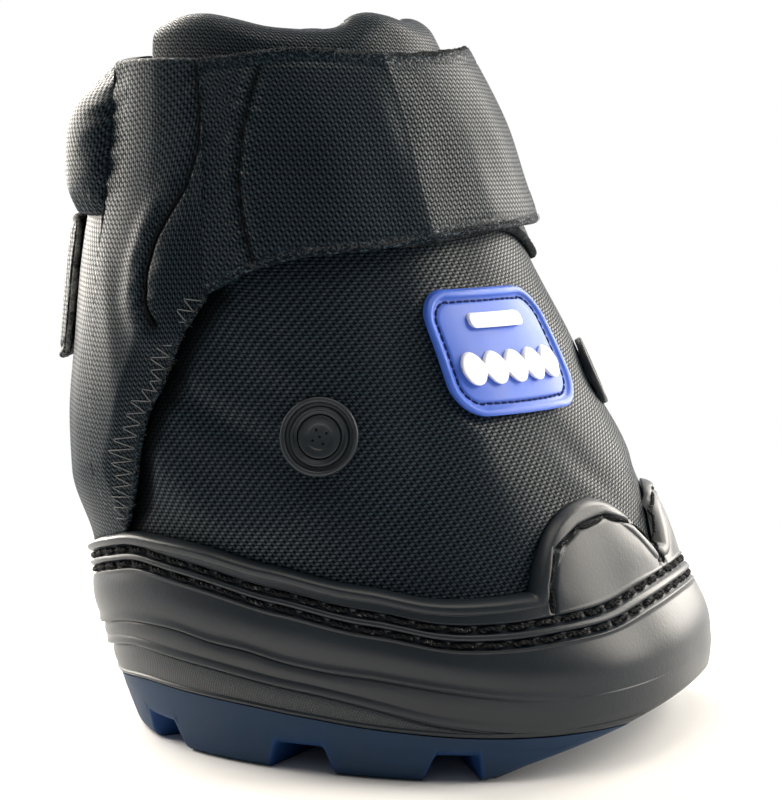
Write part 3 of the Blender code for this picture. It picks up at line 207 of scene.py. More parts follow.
class BootShell(bpy.types.PropertyGroup):
    """Sizes of the rubber shell and the outsole."""

    gap: length("Layer gap", "Clearance between two layers", 0.3)
    shell_gap: length("Shell gap", "Clearance between the vamp and the shell", 0.5)
    wall: length("Wall", "Thickness of the rubber wall", 2.3)
    bottom: length("Bottom", "Height of the shell's underside", 10.1)
    floor: length("Floor", "Height of the shell's floor", 15.2)
    ledge: length("Ledge", "Height of the ledge under the vamp", 24.3)
    ledge_width: length("Ledge width", "Width of that ledge", 5.5)
    rim_band: length("Rim band", "Height of the band above the upper groove", 5.2)
    rim_bead: length("Rim bead", "How far the rim's bead stands out", 0.7)
    band_step: length("Band step", "Depth of each stepped line", 0.4)
    groove_low: length("Groove height", "Lowest height of the upper stitched groove", 34.6)
    groove_rise: length("Groove rise", "How far the groove climbs to the heel", 12)
    groove_pitch: length("Groove pitch", "Distance between the two grooves", 3.4)
    groove_width: length("Groove width", "Width of a stitched groove", 2)
    groove_depth: length("Groove depth", "Depth of a stitched groove", 1.2)
    lobe_angle: turn("Lobe angle", "Angle of each toe lobe from the toe", 21.5)
    lobe_half_angle: turn("Lobe half angle", "Half the width of a toe lobe", 21.6)
    lobe_rise: length("Lobe rise", "How far a toe lobe rises above the rim", 15.6)
    lobe_power: FloatProperty(name="Lobe power", description="Squareness of a toe lobe", default=2.3)
    lip_width: length("Lip width", "Width of the outsole's lip", 2.2)
    lug_height: length("Lug height", "Height of the gaps between lugs", 6.1)
    channel_depth: length("Channel depth", "Depth of the ring channel", 4.6)
    bar_depth: length("Bar depth", "Depth of the cross channels", 3.8)
    bar_width: length("Bar width", "Width of the cross channels", 7)
    bevel_start: length("Bevel start", "Where the toe bevel leaves the ground", 46)
    bevel_slope: FloatProperty(name="Bevel slope", description="Slope of the toe bevel", default=0.42)


class BootCloth(bpy.types.PropertyGroup):
    """Sizes of the nylon upper, its pads and its patch."""

    vamp_thickness: length("Vamp thickness", "Thickness of the nylon", 1.3)
    lining_thickness: length("Lining thickness", "Thickness of the foam lining", 3)
    vamp_top: length("Vamp top", "Height of the vamp's upper edge", 122)
    front_collar_top: length("Front collar top", "Highest point of the front collar", 171)
    front_collar_dip: length("Front collar dip", "Depth of the dip between its humps", 4.4)
    front_collar_thickness: length("Front collar thickness", "Thickness of the padded collar", 9.2)
    flap_thickness: length("Flap thickness", "Thickness of the far flap", 1.8)
    flap_top: length("Flap top", "Height of the flap's upper edge", 157.5)
    flap_bottom_low: length("Flap bottom", "Lowest height of the flap's lower edge", 105.9)
    flap_bottom_rise: length("Flap bottom rise", "Rise of the flap's lower edge to the front", 13.6)
    strap_thickness: length("Strap thickness", "Thickness of the strap", 2.2)
    strap_stand: length("Strap stand", "Stand of the strap over its grips", 4.45)
    strap_seam_stand: length("Strap seam stand", "Stand of the strap at its seam", 1.3)
    strap_top_low: length("Strap top", "Lowest height of the strap's upper edge", 159.1)
    strap_top_rise: length("Strap top rise", "Rise of its upper edge to the front", 5.2)
    strap_bottom_low: length("Strap bottom", "Lowest height of the strap's lower edge", 105)
    strap_bottom_rise: length("Strap bottom rise", "Rise of its lower edge to the front", 16)
    strap_corner: length("Strap corner", "Radius of the strap tip's lower corner", 7)
    seam_angle: turn("Seam angle", "Angle of the strap's seam", 93)
    crease_angle: turn("Crease angle", "Angle of the crease where the tip folds", -37)
    strap_end: turn("Strap end", "Angle of the strap's free end", 20.5)
    quarter_gap: length("Quarter gap", "Clearance under a quarter", 0.5)
    quarter_thickness: length("Quarter thickness", "Thickness of a padded quarter", 5)
    quarter_edge: length("Quarter edge", "Thickness of a quarter's thin edge", 1.2)
    quarter_swell: length("Quarter swell", "Height over which a quarter swells", 18)
    quarter_top: length("Quarter top", "Height of a quarter's upper edge", 160)
    quarter_rear_top: length("Quarter rear top", "Height of its upper edge behind", 124)
    quarter_step: turn("Quarter step", "Angle where a quarter's upper edge drops", 127)
    quarter_end: turn("Quarter end", "Angle of a quarter's rear edge", 178.5)
    quarter_foot: turn("Quarter foot", "Angle where a quarter's edge meets the rim", 122.5)
    collar_top: length("Collar top", "Height of a rear collar pad's top", 161)
    collar_depth: length("Collar depth", "How far a rear collar pad goes in", 6)
    collar_stand: length("Collar stand", "How far a rear collar pad stands out", 12.5)
    tab_bottom: length("Tab bottom", "Height of the heel tab's lower edge", 87.5)
    tab_top: length("Tab top", "Height of its upper edge", 123)
    tab_thickness: length("Tab thickness", "Thickness of the heel tab", 2)
    patch_angle: turn("Patch angle", "Angle of the patch's middle", -23.5)
    patch_half_angle: turn("Patch half angle", "Half the patch's width", 20.5)
    patch_middle: length("Patch middle", "Height of the patch's middle", 93)
    patch_height: length("Patch height", "Height of the patch", 28)
    patch_corner: length("Patch corner", "Radius of its corners", 8)
    weave_across: length("Weave across", "Width of one warp thread", 0.86)
    weave_along: length("Weave along", "Height of one weft thread", 1.12)


class BootFinish(bpy.types.PropertyGroup):
    """Colours of the finishes."""

    rubber: colour("Shell rubber", "Moulded shell", (0.0040, 0.0085, 0.0135))
    sole: colour("Sole rubber", "Outsole", (0.0020, 0.0210, 0.0580))
    # Painted highlight: the brighter blue painted on the faces between the lugs and on their steep edges.
    sole_notch_highlight: colour("Sole notch", "Faces between the lugs", (0.003, 0.036, 0.140))
    nylon: colour("Nylon", "Threads of the cloth", (0.0030, 0.0068, 0.0108))
    # Painted highlight: the colour painted on the crowns of the warp floats.
    nylon_light: colour("Nylon highlight", "Raised warp threads", (0.030, 0.056, 0.080))
    foam: colour("Foam", "Lining and comfort pad", (0.016, 0.017, 0.019))
    thread: colour("Thread", "Stitching", (0.0045, 0.005, 0.006))
    patch: colour("Patch", "Blue rubber of the patch", (0.042, 0.120, 0.560))
    patch_white: colour("Patch figure", "White rubber of its figure", (0.80, 0.82, 0.88))
    board: colour("Board", "Liner board", (0.24, 0.23, 0.21))
    floor: colour("Floor", "Studio floor", (0.90, 0.90, 0.90))


class BootStudio(bpy.types.PropertyGroup):
    """The camera and the lights."""

    azimuth: turn("Azimuth", "Camera's angle round the boot", 22)
    elevation: turn("Elevation", "Camera's angle above the ground", 6.5)
    distance: length("Distance", "Camera's distance", 530)
    target: length("Target height", "Height that the camera looks at", 77)
    lens: FloatProperty(name="Lens", description="Focal length in millimetres", default=96.1)
    sensor: FloatProperty(name="Sensor", description="Width of the sensor in millimetres", default=36)
    sky: share("Sky", "Strength of the world's light", 0.14)
    gloss_sky: share("Sky in gloss", "How far a glossy surface sees the sky as white", 0.06)
    detail: IntProperty(name="Detail", description="Columns of the shell's mesh in a degree", default=5)


class BootSettings(bpy.types.PropertyGroup):
    """All the settings of the boot."""

    form: PointerProperty(type=BootForm)
    shell: PointerProperty(type=BootShell)
    cloth: PointerProperty(type=BootCloth)
    finish: PointerProperty(type=BootFinish)
    studio: PointerProperty(type=BootStudio)


def boot():
    """The boot's settings in this scene."""
    return bpy.context.scene.hoof_boot


# Curves and the form


def smooth(rows, place):
    """A table read between its rows on a smooth curve, and straight on past its ends.

    Between two rows the value is the cubic that meets both rows with the slopes that numpy.gradient gives
    there; outside them it is the end value plus the end slope times the distance.
    """
    table = np.array(rows, dtype=float)
    places = table[:, 0]
    slopes = np.gradient(table, places, axis=0)
    place = np.asarray(place, dtype=float)
    k = np.clip(np.searchsorted(places, place, side="right") - 1, 0, len(places) - 2)
    span = places[k + 1] - places[k]
    t = np.clip((place - places[k]) / span, 0, 1)[..., None]
    span = span[..., None]
    value = (2 * t**3 - 3 * t**2 + 1) * table[k] + (3 * t**2 - 2 * t**3) * table[k + 1]
    value = value + span * ((t**3 - 2 * t**2 + t) * slopes[k] + (t**3 - t**2) * slopes[k + 1])
    before = np.minimum(place - places[0], 0)[..., None] * slopes[0]
    after = np.maximum(place - places[-1], 0)[..., None] * slopes[-1]
    return value + before + after


def side_share(rows, angle):
    """A share read at an angle from the toe: both sides alike, and smooth over the toe and the heel."""
    from_toe = np.abs((np.asarray(angle, float) + HALF_TURN) % (2 * HALF_TURN) - HALF_TURN)
    before = (-rows[1][0], rows[1][1])
    after = (2 * HALF_TURN - rows[-2][0], rows[-2][1])
    return smooth([before, *rows, after], from_toe)[..., 1]


def mix(start, end, part):
    """The value a part of the way from start to end."""
    return start + (end - start) * part


def ramp(value):
    """A smooth step from 0 to 1: 3t² - 2t³ of the value held between 0 and 1."""
    t = np.clip(value, 0, 1)
    return t * t * (3 - 2 * t)


def bump(distance, width):
    """A bell of height 1 whose value falls to about a third at one width from its middle."""
    return np.exp(-((distance / width) ** 2))


def form_table():
    """Height, toe reach, heel reach, half width and power of the form, one row each."""
    form = boot().form
    rows = [
        (height * form.rim_level, toe * form.toe_reach, heel * form.heel_reach, side * form.half_width,
         SOLE_POWER)
        for height, toe, heel, side in SHELL_FORM_SHARES
    ]
    _, toe, heel, side, _ = rows[-1]
    for height, lean, bulge, narrowing in UPPER_FORM_SHARES:
        rows.append((
            form.rim_level + height * form.upper_height,
            mix(toe, form.pastern_front, lean),
            mix(heel, form.pastern_back, height) + bulge * form.heel_bulge,
            mix(side, form.pastern_half_width, narrowing),
            mix(SOLE_POWER, TOP_POWER, height),
        ))
    return rows


def on_form(angle, height, stand=0.0, part=1.0):
    """Points at an angle, a height and a stand; a part below 1 draws them in towards the middle.

    In plan the form is a rounded oval: each coordinate is a half size times the cosine or sine of the angle,
    raised to 2 over the power.
    """
    angle, height, stand, part = np.broadcast_arrays(angle, height, stand, part)
    _, toe, heel, side, power = np.moveaxis(smooth(form_table(), height), -1, 0)
    radians = np.radians(angle)
    cosine, sine = np.cos(radians), np.sin(radians)
    along = part * ((toe + heel) / 2 + stand) * np.sign(cosine) * np.abs(cosine) ** (2 / power)
    across = part * (side + stand) * np.sign(sine) * np.abs(sine) ** (2 / power)
    return np.stack([(toe - heel) / 2 + along, across, height + 0 * along], axis=-1)


def outward(angle, height, stand=0.0):
    """Unit normals of the form, from the cross product of small steps round it and up it."""
    round_it = on_form(angle + 0.5, height, stand) - on_form(angle - 0.5, height, stand)
    up_it = on_form(angle, height + 0.5 * MM, stand) - on_form(angle, height - 0.5 * MM, stand)
    normal = np.cross(round_it, up_it)
    return normal / np.linalg.norm(normal, axis=-1, keepdims=True)


def arc_between(start, end, height):
    """Distance round the form between two angles at a height."""
    path = on_form(np.linspace(start, end, 60), height)
    return float(np.linalg.norm(np.diff(path, axis=0), axis=1).sum())


def edge_shares(count, near):
    """Shares from 0 to 1 that lie closer together at both ends, where an edge is rounded."""
    close = near * np.array([0, 0.12, 0.35, 0.65, 1.0, 1.5])
    middle = np.linspace(close[-1], 1 - close[-1], count)[1:-1]
    return np.concatenate([close, middle, 1 - close[::-1]])


def grid_lengths(points):
    """Two lengths at each point of a grid: round it from the first column, and up it from the ground."""
    around = np.zeros(points.shape[:2])
    around[1:] = np.cumsum(np.linalg.norm(np.diff(points, axis=0), axis=2), axis=0)
    up = np.zeros(points.shape[:2])
    up[:, 1:] = np.cumsum(np.linalg.norm(np.diff(points, axis=1), axis=2), axis=1)
    return around, up


# Meshes


def new_piece(name, points, quads, tris=None, uv=None, marks=None):
    """A mesh object from arrays, turned to face outwards by the sign of its volume, and shaded smooth.

    uv is one pair for each point, in metres. marks are named values for each point that a finish can read.
    """
    points = np.ascontiguousarray(points, dtype=float).reshape(-1, 3)
    quads = np.asarray(quads, dtype=np.int64).reshape(-1, 4)
    tris = np.zeros((0, 3), np.int64) if tris is None else np.asarray(tris, dtype=np.int64).reshape(-1, 3)
    halves = np.concatenate([quads[:, [0, 1, 2]], quads[:, [0, 2, 3]], tris])
    a, b, c = points[halves[:, 0]], points[halves[:, 1]], points[halves[:, 2]]
    if np.einsum("ij,ij->i", a, np.cross(b, c)).sum() < 0:
        quads, tris = quads[:, ::-1], tris[:, ::-1]
    mesh = bpy.data.meshes.new(name)
    mesh.vertices.add(len(points))
    mesh.vertices.foreach_set("co", points.ravel())
    corners = np.concatenate([quads.ravel(), tris.ravel()]).astype(np.int32)
    mesh.loops.add(len(corners))
    mesh.loops.foreach_set("vertex_index", corners)
    starts = np.concatenate([np.arange(len(quads)) * 4, 4 * len(quads) + np.arange(len(tris)) * 3])
    mesh.polygons.add(len(starts))
    mesh.polygons.foreach_set("loop_start", starts.astype(np.int32))
    if uv is not None:
        layer = mesh.uv_layers.new(name="UVMap")
        layer.data.foreach_set("uv", np.asarray(uv, float).reshape(-1, 2)[corners].ravel())
    for mark, values in (marks or {}).items():
        attribute = mesh.attributes.new(mark, "FLOAT", "POINT")
        attribute.data.foreach_set("value", np.broadcast_to(values, len(points)).astype(np.float32).ravel())
    mesh.update(calc_edges=True)
    mesh.validate()
    mesh.shade_smooth()
    piece = bpy.data.objects.new(name, mesh)
    bpy.context.scene.collection.objects.link(piece)
    return piece


def finish_piece(piece, finish, *replaced, body="root", slot=None, sharp=None):
    """Give a piece its finish and its body, and hide the nodes it stands for. Its slot is not used."""
    piece.data.materials.append(finish_of(finish))
    if sharp:
        piece.data.set_sharp_from_angle(angle=math.radians(sharp))
    if replaced:
        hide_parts(*replaced)
    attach(piece, body)
    return piece


def grid_quads(columns, rows, closed=False):
    """The quads of a grid whose points run up each column; closed joins the last column to the first."""
    numbers = np.arange(columns * rows).reshape(columns, rows)
    if closed:
        numbers = np.concatenate([numbers, numbers[:1]])
    corners = (numbers[:-1, :-1], numbers[1:, :-1], numbers[1:, 1:], numbers[:-1, 1:])
    return np.stack(corners, -1).reshape(-1, 4)


def disc_faces(points, first_pole, last_pole):
    """Points, quads and triangles of a closed grid with a fan round a pole at its first and last rows."""
    columns, rows = points.shape[:2]
    count = columns * rows
    numbers = np.arange(count).reshape(columns, rows)
    following = np.roll(numbers, -1, axis=0)
    tris = np.concatenate([
        np.stack([following[:, 0], numbers[:, 0], np.full(columns, count)], -1),
        np.stack([numbers[:, -1], following[:, -1], np.full(columns, count + 1)], -1),
    ])
    points = np.concatenate([points.reshape(-1, 3), [first_pole, last_pole]])
    return points, grid_quads(columns, rows, closed=True), tris


def slab(name, angle, height, inner, outer, edge, origin=0.0, marks=None, turned=0.0, hem=1.3 * MM,
         ends=(True, True)):
    """A closed sheet of cloth or rubber bent round the form.

    Its points are the form at each angle and height of a grid, at an outer and an inner stand. Within edge
    of its border both faces close towards the middle of the thickness on a quarter of an ellipse. Its map
    is the length round it from the angle origin and the length up it, in metres, turned by so many degrees.
    The mark hem is 1 at the border and falls to 0 a little further in than the width hem. An end that isn't
    in ends stays square, because another piece meets it.
    """
    angle, height, inner, outer = np.broadcast_arrays(angle, height, inner, outer)
    skin = on_form(angle, height, outer)
    around, up = grid_lengths(skin)
    border = np.minimum(up, up[:, -1:] - up)
    for end, distance in zip(ends, (around, around[-1] - around)):
        border = np.minimum(border, distance) if end else border
    closing = 0.12 + 0.88 * np.sqrt(1 - np.clip(1 - border / edge, 0, 1) ** 2)
    middle = (inner + outer) / 2
    front = on_form(angle, height, middle + (outer - middle) * closing)
    back = on_form(angle, height, middle + (inner - middle) * closing)
    columns, rows = angle.shape
    count = columns * rows
    quads = grid_quads(columns, rows)
    numbers = np.arange(count).reshape(columns, rows)
    ring = np.concatenate([numbers[:-1, 0], numbers[-1, :-1], numbers[:0:-1, -1], numbers[0, :0:-1]])
    following = np.roll(ring, -1)
    rim = np.stack([ring, ring + count, following + count, following], -1)
    start = np.array([np.interp(origin, angle[:, j] if angle[0, j] < angle[-1, j] else angle[::-1, j],
                                around[:, j] if angle[0, j] < angle[-1, j] else around[::-1, j])
                      for j in range(rows)])
    u, v = (around - start) * np.sign(angle[-1, 0] - angle[0, 0]), up + height[:, :1]
    slant = math.radians(turned)
    uv = np.stack([u * math.cos(slant) + v * math.sin(slant), v * math.cos(slant) - u * math.sin(slant)], -1)
    points = np.concatenate([front.reshape(-1, 3), back.reshape(-1, 3)])
    # The mark shade, 0 unless a piece sets it, is where the cloth's finish paints shade.
    marks = {"hem": ramp(1.25 - border / hem), "shade": 0 * border, **(marks or {})}
    both = {mark: np.concatenate([values.ravel(), values.ravel()]) for mark, values in marks.items()}
    uv = np.concatenate([uv.reshape(-1, 2)] * 2)
    return new_piece(name, points, np.concatenate([quads, quads[:, ::-1] + count, rim]), uv=uv, marks=both)


def tube(path, normal, radius, sides=8, closed=False):
    """Points, quads and triangles of a round thread along a path.

    Each ring is the path's point plus the radius times the cosine of a full turn along the normal and its
    sine along the cross product of the path's direction and that normal.
    """
    path, normal = np.asarray(path, float), np.asarray(normal, float)
    way = np.roll(path, -1, 0) - np.roll(path, 1, 0) if closed else np.gradient(path, axis=0)
    way /= np.linalg.norm(way, axis=1, keepdims=True)
    side = np.cross(way, normal)
    side /= np.linalg.norm(side, axis=1, keepdims=True)
    out = np.cross(side, way)
    spin = np.linspace(0, math.tau, sides, endpoint=False)
    radius = np.broadcast_to(radius, len(path))[:, None, None]
    rings = path[:, None] + radius * (np.cos(spin)[None, :, None] * out[:, None]
                                      + np.sin(spin)[None, :, None] * side[:, None])
    count = len(path)
    numbers = np.arange(count * sides).reshape(count, sides)
    if closed:
        numbers = np.concatenate([numbers, numbers[:1]])
    across = np.concatenate([numbers, numbers[:, :1]], axis=1)
    quads = np.stack([across[:-1, :-1], across[1:, :-1], across[1:, 1:], across[:-1, 1:]], -1).reshape(-1, 4)
    points, tris = rings.reshape(-1, 3), np.zeros((0, 3), int)
    if not closed:
        points = np.concatenate([points, path[:1], path[-1:]])
        first, last = across[0], across[count - 1]
        tris = np.concatenate([
            np.stack([first[1:], first[:-1], np.full(sides, count * sides)], -1),
            np.stack([last[:-1], last[1:], np.full(sides, count * sides + 1)], -1),
        ])
    return points, quads, tris


def join(parts):
    """One set of points, quads and triangles from several."""
    points, quads, tris, count = [], [], [], 0
    for p, q, t in parts:
        points.append(p)
        quads.append(q + count)
        tris.append(t + count)
        count += len(p)
    return np.concatenate(points), np.concatenate(quads), np.concatenate(tris)


def sheet_grid(start, end, across, up):
    """Angles and shares of height over a sheet; across and up are a count and how near the ends it starts."""
    return np.meshgrid(mix(start, end, edge_shares(*across)), edge_shares(*up), indexing="ij")


def seam_line(rows, count=60):
    """Angles and heights of points at even steps along a seam's table."""
    table = np.array(rows)
    places = np.linspace(0, len(table) - 1, count)
    angle, height = (np.interp(places, np.arange(len(table)), table[:, k]) for k in (0, 1))
    return angle, height * MM


def near_seam(a, h, rows, scale):
    """Distance of each point of a sheet to a seam, and the share along it; scale is metres in a degree."""
    table = np.array(rows)
    return near_path(a * scale, h, np.stack([table[:, 0] * scale, table[:, 1] * MM], -1))


def near_path(around, up, path):
    """Distance from each point of a flat grid to a path, and the share along the path nearest to it."""
    flat = np.stack([np.ravel(around), np.ravel(up)], -1)
    best, place = np.full(len(flat), np.inf), np.zeros(len(flat))
    starts, ends = path[:-1], path[1:]
    for k, (start, end) in enumerate(zip(starts, ends)):
        way = end - start
        t = np.clip(((flat - start) @ way) / max(way @ way, 1e-12), 0, 1)
        distance = np.linalg.norm(flat - start - t[:, None] * way, axis=1)
        nearer = distance < best
        best = np.where(nearer, distance, best)
        place = np.where(nearer, (k + t) / len(starts), place)
    return best.reshape(np.shape(around)), place.reshape(np.shape(around))


def stitched(angle, height, stand, stitch, radius, dip, sides=8, step=0.3 * MM, closed=False, plies=1):
    """A sewn thread along a line on the form: it rises over each stitch and dips into a hole between two.

    The thread's stand is the line's stand less the dip times a high power of the cosine of half a turn for
    each stitch, so it is flat over a stitch and falls steeply at its ends. Without a stitch length each of
    the line's own points is a hole. Plies are twisted round each other once in four of their widths.
    """
    line = np.stack(np.broadcast_arrays(np.asarray(angle, float), height, stand), -1)
    points = on_form(line[:, 0], line[:, 1], line[:, 2])
    lengths = np.concatenate([[0], np.cumsum(np.linalg.norm(np.diff(points, axis=0), axis=1))])
    total = lengths[-1]
    places = np.linspace(0, total, int(total / step) + 1)
    if closed:
        places = places[:-1]
    at = [np.interp(places, lengths, line[:, k]) for k in range(3)]
    phase = places / total * max(int(round(total / stitch)), 1) if stitch else np.interp(
        places, lengths, np.arange(len(lengths)))
    hole = np.abs(np.cos(np.pi * phase)) ** 9
    normal = outward(at[0], at[1])
    uneven = 0.16 * radius * np.sin(np.floor(phase) * 12.9) * (1 - hole)
    path = on_form(at[0], at[1], at[2]) + normal * (uneven - dip * hole)[:, None]
    if plies == 1:
        return tube(path, normal, radius * (1 - 0.25 * hole), sides, closed)
    side = np.cross(np.gradient(path, axis=0), normal)
    side /= np.linalg.norm(side, axis=1, keepdims=True)
    turns = round(total / (4.4 * radius))
    spin = math.tau * places / total * turns
    parts = []
    for ply in range(plies):
        at_ply = spin + math.tau * ply / plies
        off = 0.48 * radius * (np.cos(at_ply)[:, None] * normal + np.sin(at_ply)[:, None] * side)
        parts.append(tube(path + off, normal, 0.6 * radius * (1 - 0.2 * hole), sides, closed))
    return join(parts)


def fray(name, angle, height, stand, body, count, reach=1.5 * MM):
    """Loose fibres along an edge: thin three-sided spikes, each from a random root on the line.

    A spike's tip lies a random way off its root, mostly outwards, and its middle is half way there plus a
    bow.
    """
    chance = np.random.default_rng(count)
    line = np.stack(np.broadcast_arrays(np.asarray(angle, float), height, stand), -1)
    at = chance.uniform(0, len(line) - 1, count)
    a, h, st = [np.interp(at, np.arange(len(line)), line[:, k]) for k in range(3)]
    normal = outward(a, h)
    root = on_form(a, h, st) - 0.3 * MM * normal
    way = chance.normal(0, 0.75, (count, 3)) + normal
    way *= reach * chance.uniform(0.25, 1, (count, 1)) / np.linalg.norm(way, axis=1, keepdims=True)
    middle = root + way / 2 + chance.normal(0, 0.2, (count, 3)) * reach
    spine = np.stack([root, middle, root + way], 1)
    side = np.cross(way, normal + 1e-3)
    side /= np.linalg.norm(side, axis=1, keepdims=True)
    other = np.cross(way, side)
    other /= np.linalg.norm(other, axis=1, keepdims=True)
    spin = np.arange(3) * math.tau / 3
    ray = np.cos(spin)[None, :, None] * side[:, None] + np.sin(spin)[None, :, None] * other[:, None]
    thick = np.array([0.09, 0.08, 0.03]) * MM
    points = spine[:, :, None] + thick[None, :, None, None] * ray[:, None]
    first = np.arange(count)[:, None] * 9
    k = np.arange(6)
    after = k - k % 3 + (k + 1) % 3
    quads = np.stack([first + k, first + after, first + after + 3, first + k + 3], -1)
    ends = np.array([[0, 2, 1], [6, 7, 8]])
    piece = new_piece(name, points, quads, first[:, :, None] + ends)
    finish_piece(piece, "fine_thread", body=body)


# Finishes


class Socket:
    """A shader value in an arithmetic expression: each operator adds the Math node that works it out."""

    def __init__(self, finish, socket):
        self.finish, self.socket = finish, socket

    def math(self, operation, *others):
        return self.finish.node("ShaderNodeMath", {"operation": operation}, dict(enumerate((self, *others))))

    def __add__(self, other):
        return self.math("ADD", other)

    def __sub__(self, other):
        return self.math("SUBTRACT", other)

    def __mul__(self, other):
        return self.math("MULTIPLY", other)

    def __truediv__(self, other):
        return self.math("DIVIDE", other)

    def __pow__(self, other):
        return self.math("POWER", other)

    def __gt__(self, other):
        return self.math("GREATER_THAN", other)

    def __lt__(self, other):
        return self.math("LESS_THAN", other)

    __radd__, __rmul__ = __add__, __mul__

    def __rsub__(self, other):
        return self.finish.node("ShaderNodeMath", {"operation": "SUBTRACT"}, {0: other, 1: self})

    def floor(self):
        return self.math("FLOOR")

    def part(self):
        return self.math("FRACT")

    def size(self):
        return self.math("ABSOLUTE")

    def sign(self):
        return self.math("SIGN")

    def cosine(self):
        return self.math("COSINE")

    def most(self, other):
        return self.math("MAXIMUM", other)

    def least(self, other):
        return self.math("MINIMUM", other)


class Nodes:
    """A node tree, with the one method that adds a node to it."""

    def __init__(self, tree):
        self.tree = tree

    def node(self, kind, settings=None, values=None, out=0):
        """A node of a type: its settings are set first, then the values or links of its sockets.

        It gives back one output, by its number or name, or a list of them all where out is None.
        """
        made = self.tree.nodes.new(kind)
        for key, value in (settings or {}).items():
            setattr(made, key, value)
        for key, value in (values or {}).items():
            self.link(value, made.inputs[key])
        if out is None:
            return [Socket(self, output) for output in made.outputs]
        return Socket(self, made.outputs[out])

    def link(self, value, target):
        """Give an input a value, a colour of three numbers, or a link."""
        if isinstance(value, Socket):
            self.tree.links.new(value.socket, target)
        elif hasattr(value, "__len__") and len(value) == 3 and target.type == "RGBA":
            target.default_value = (*value, 1)
        else:
            target.default_value = value

    def ray(self, kind):
        """1 for rays of a kind, such as Camera or Glossy, and 0 for the others."""
        return self.node("ShaderNodeLightPath", out=f"Is {kind} Ray")

    def spread(self, value, low, high, to_low=0.0, to_high=1.0):
        """A value's range set again, and held between its ends."""
        return self.node("ShaderNodeMapRange", {"clamp": True}, {
            0: value, 1: low, 2: high, 3: to_low, 4: to_high,
        })


class Finish(Nodes):
    """A procedural material on the Principled shader."""

    def __init__(self, name, roughness=0.5, coat=0.0, specular=0.5):
        self.material = bpy.data.materials.new(name)
        self.material.use_nodes = True
        super().__init__(self.material.node_tree)
        self.shader = self.tree.nodes["Principled BSDF"]
        self.set("Roughness", roughness)
        self.set("Coat Weight", coat)
        self.set("Specular IOR Level", specular)

    def set(self, name, value):
        """Give one of the shader's own inputs a value or a link."""
        self.link(value, self.shader.inputs[name])

    def place(self):
        """The object's coordinates."""
        return self.node("ShaderNodeTexCoord", out="Object")

    def uv(self):
        """The piece's own map, in metres."""
        return self.node("ShaderNodeUVMap", {"uv_map": "UVMap"})

    def split(self, vector):
        """The three parts of a vector."""
        return self.node("ShaderNodeSeparateXYZ", {}, {"Vector": vector}, out=None)

    def mark(self, name):
        """A value that a piece's mesh carries at each point."""
        return self.node("ShaderNodeAttribute", {"attribute_name": name}, out="Fac")

    def noise(self, place, scale, detail=2.0, roughness=0.5):
        """Smooth noise from 0 to 1, with so many waves in a metre."""
        return self.node("ShaderNodeTexNoise", {}, {
            "Vector": place, "Scale": scale, "Detail": detail, "Roughness": roughness,
        })

    def blend(self, part, first, second):
        """Two colours mixed by a part from 0 to 1."""
        return self.node("ShaderNodeMix", {"data_type": "RGBA"}, {0: part, 6: first, 7: second}, out=2)

    def raise_surface(self, height, distance):
        """Raise the surface by a height from 0 to 1 times a distance in metres."""
        self.set("Normal", self.node("ShaderNodeBump", {}, {
            "Height": height, "Distance": distance, "Strength": 1.0,
        }))


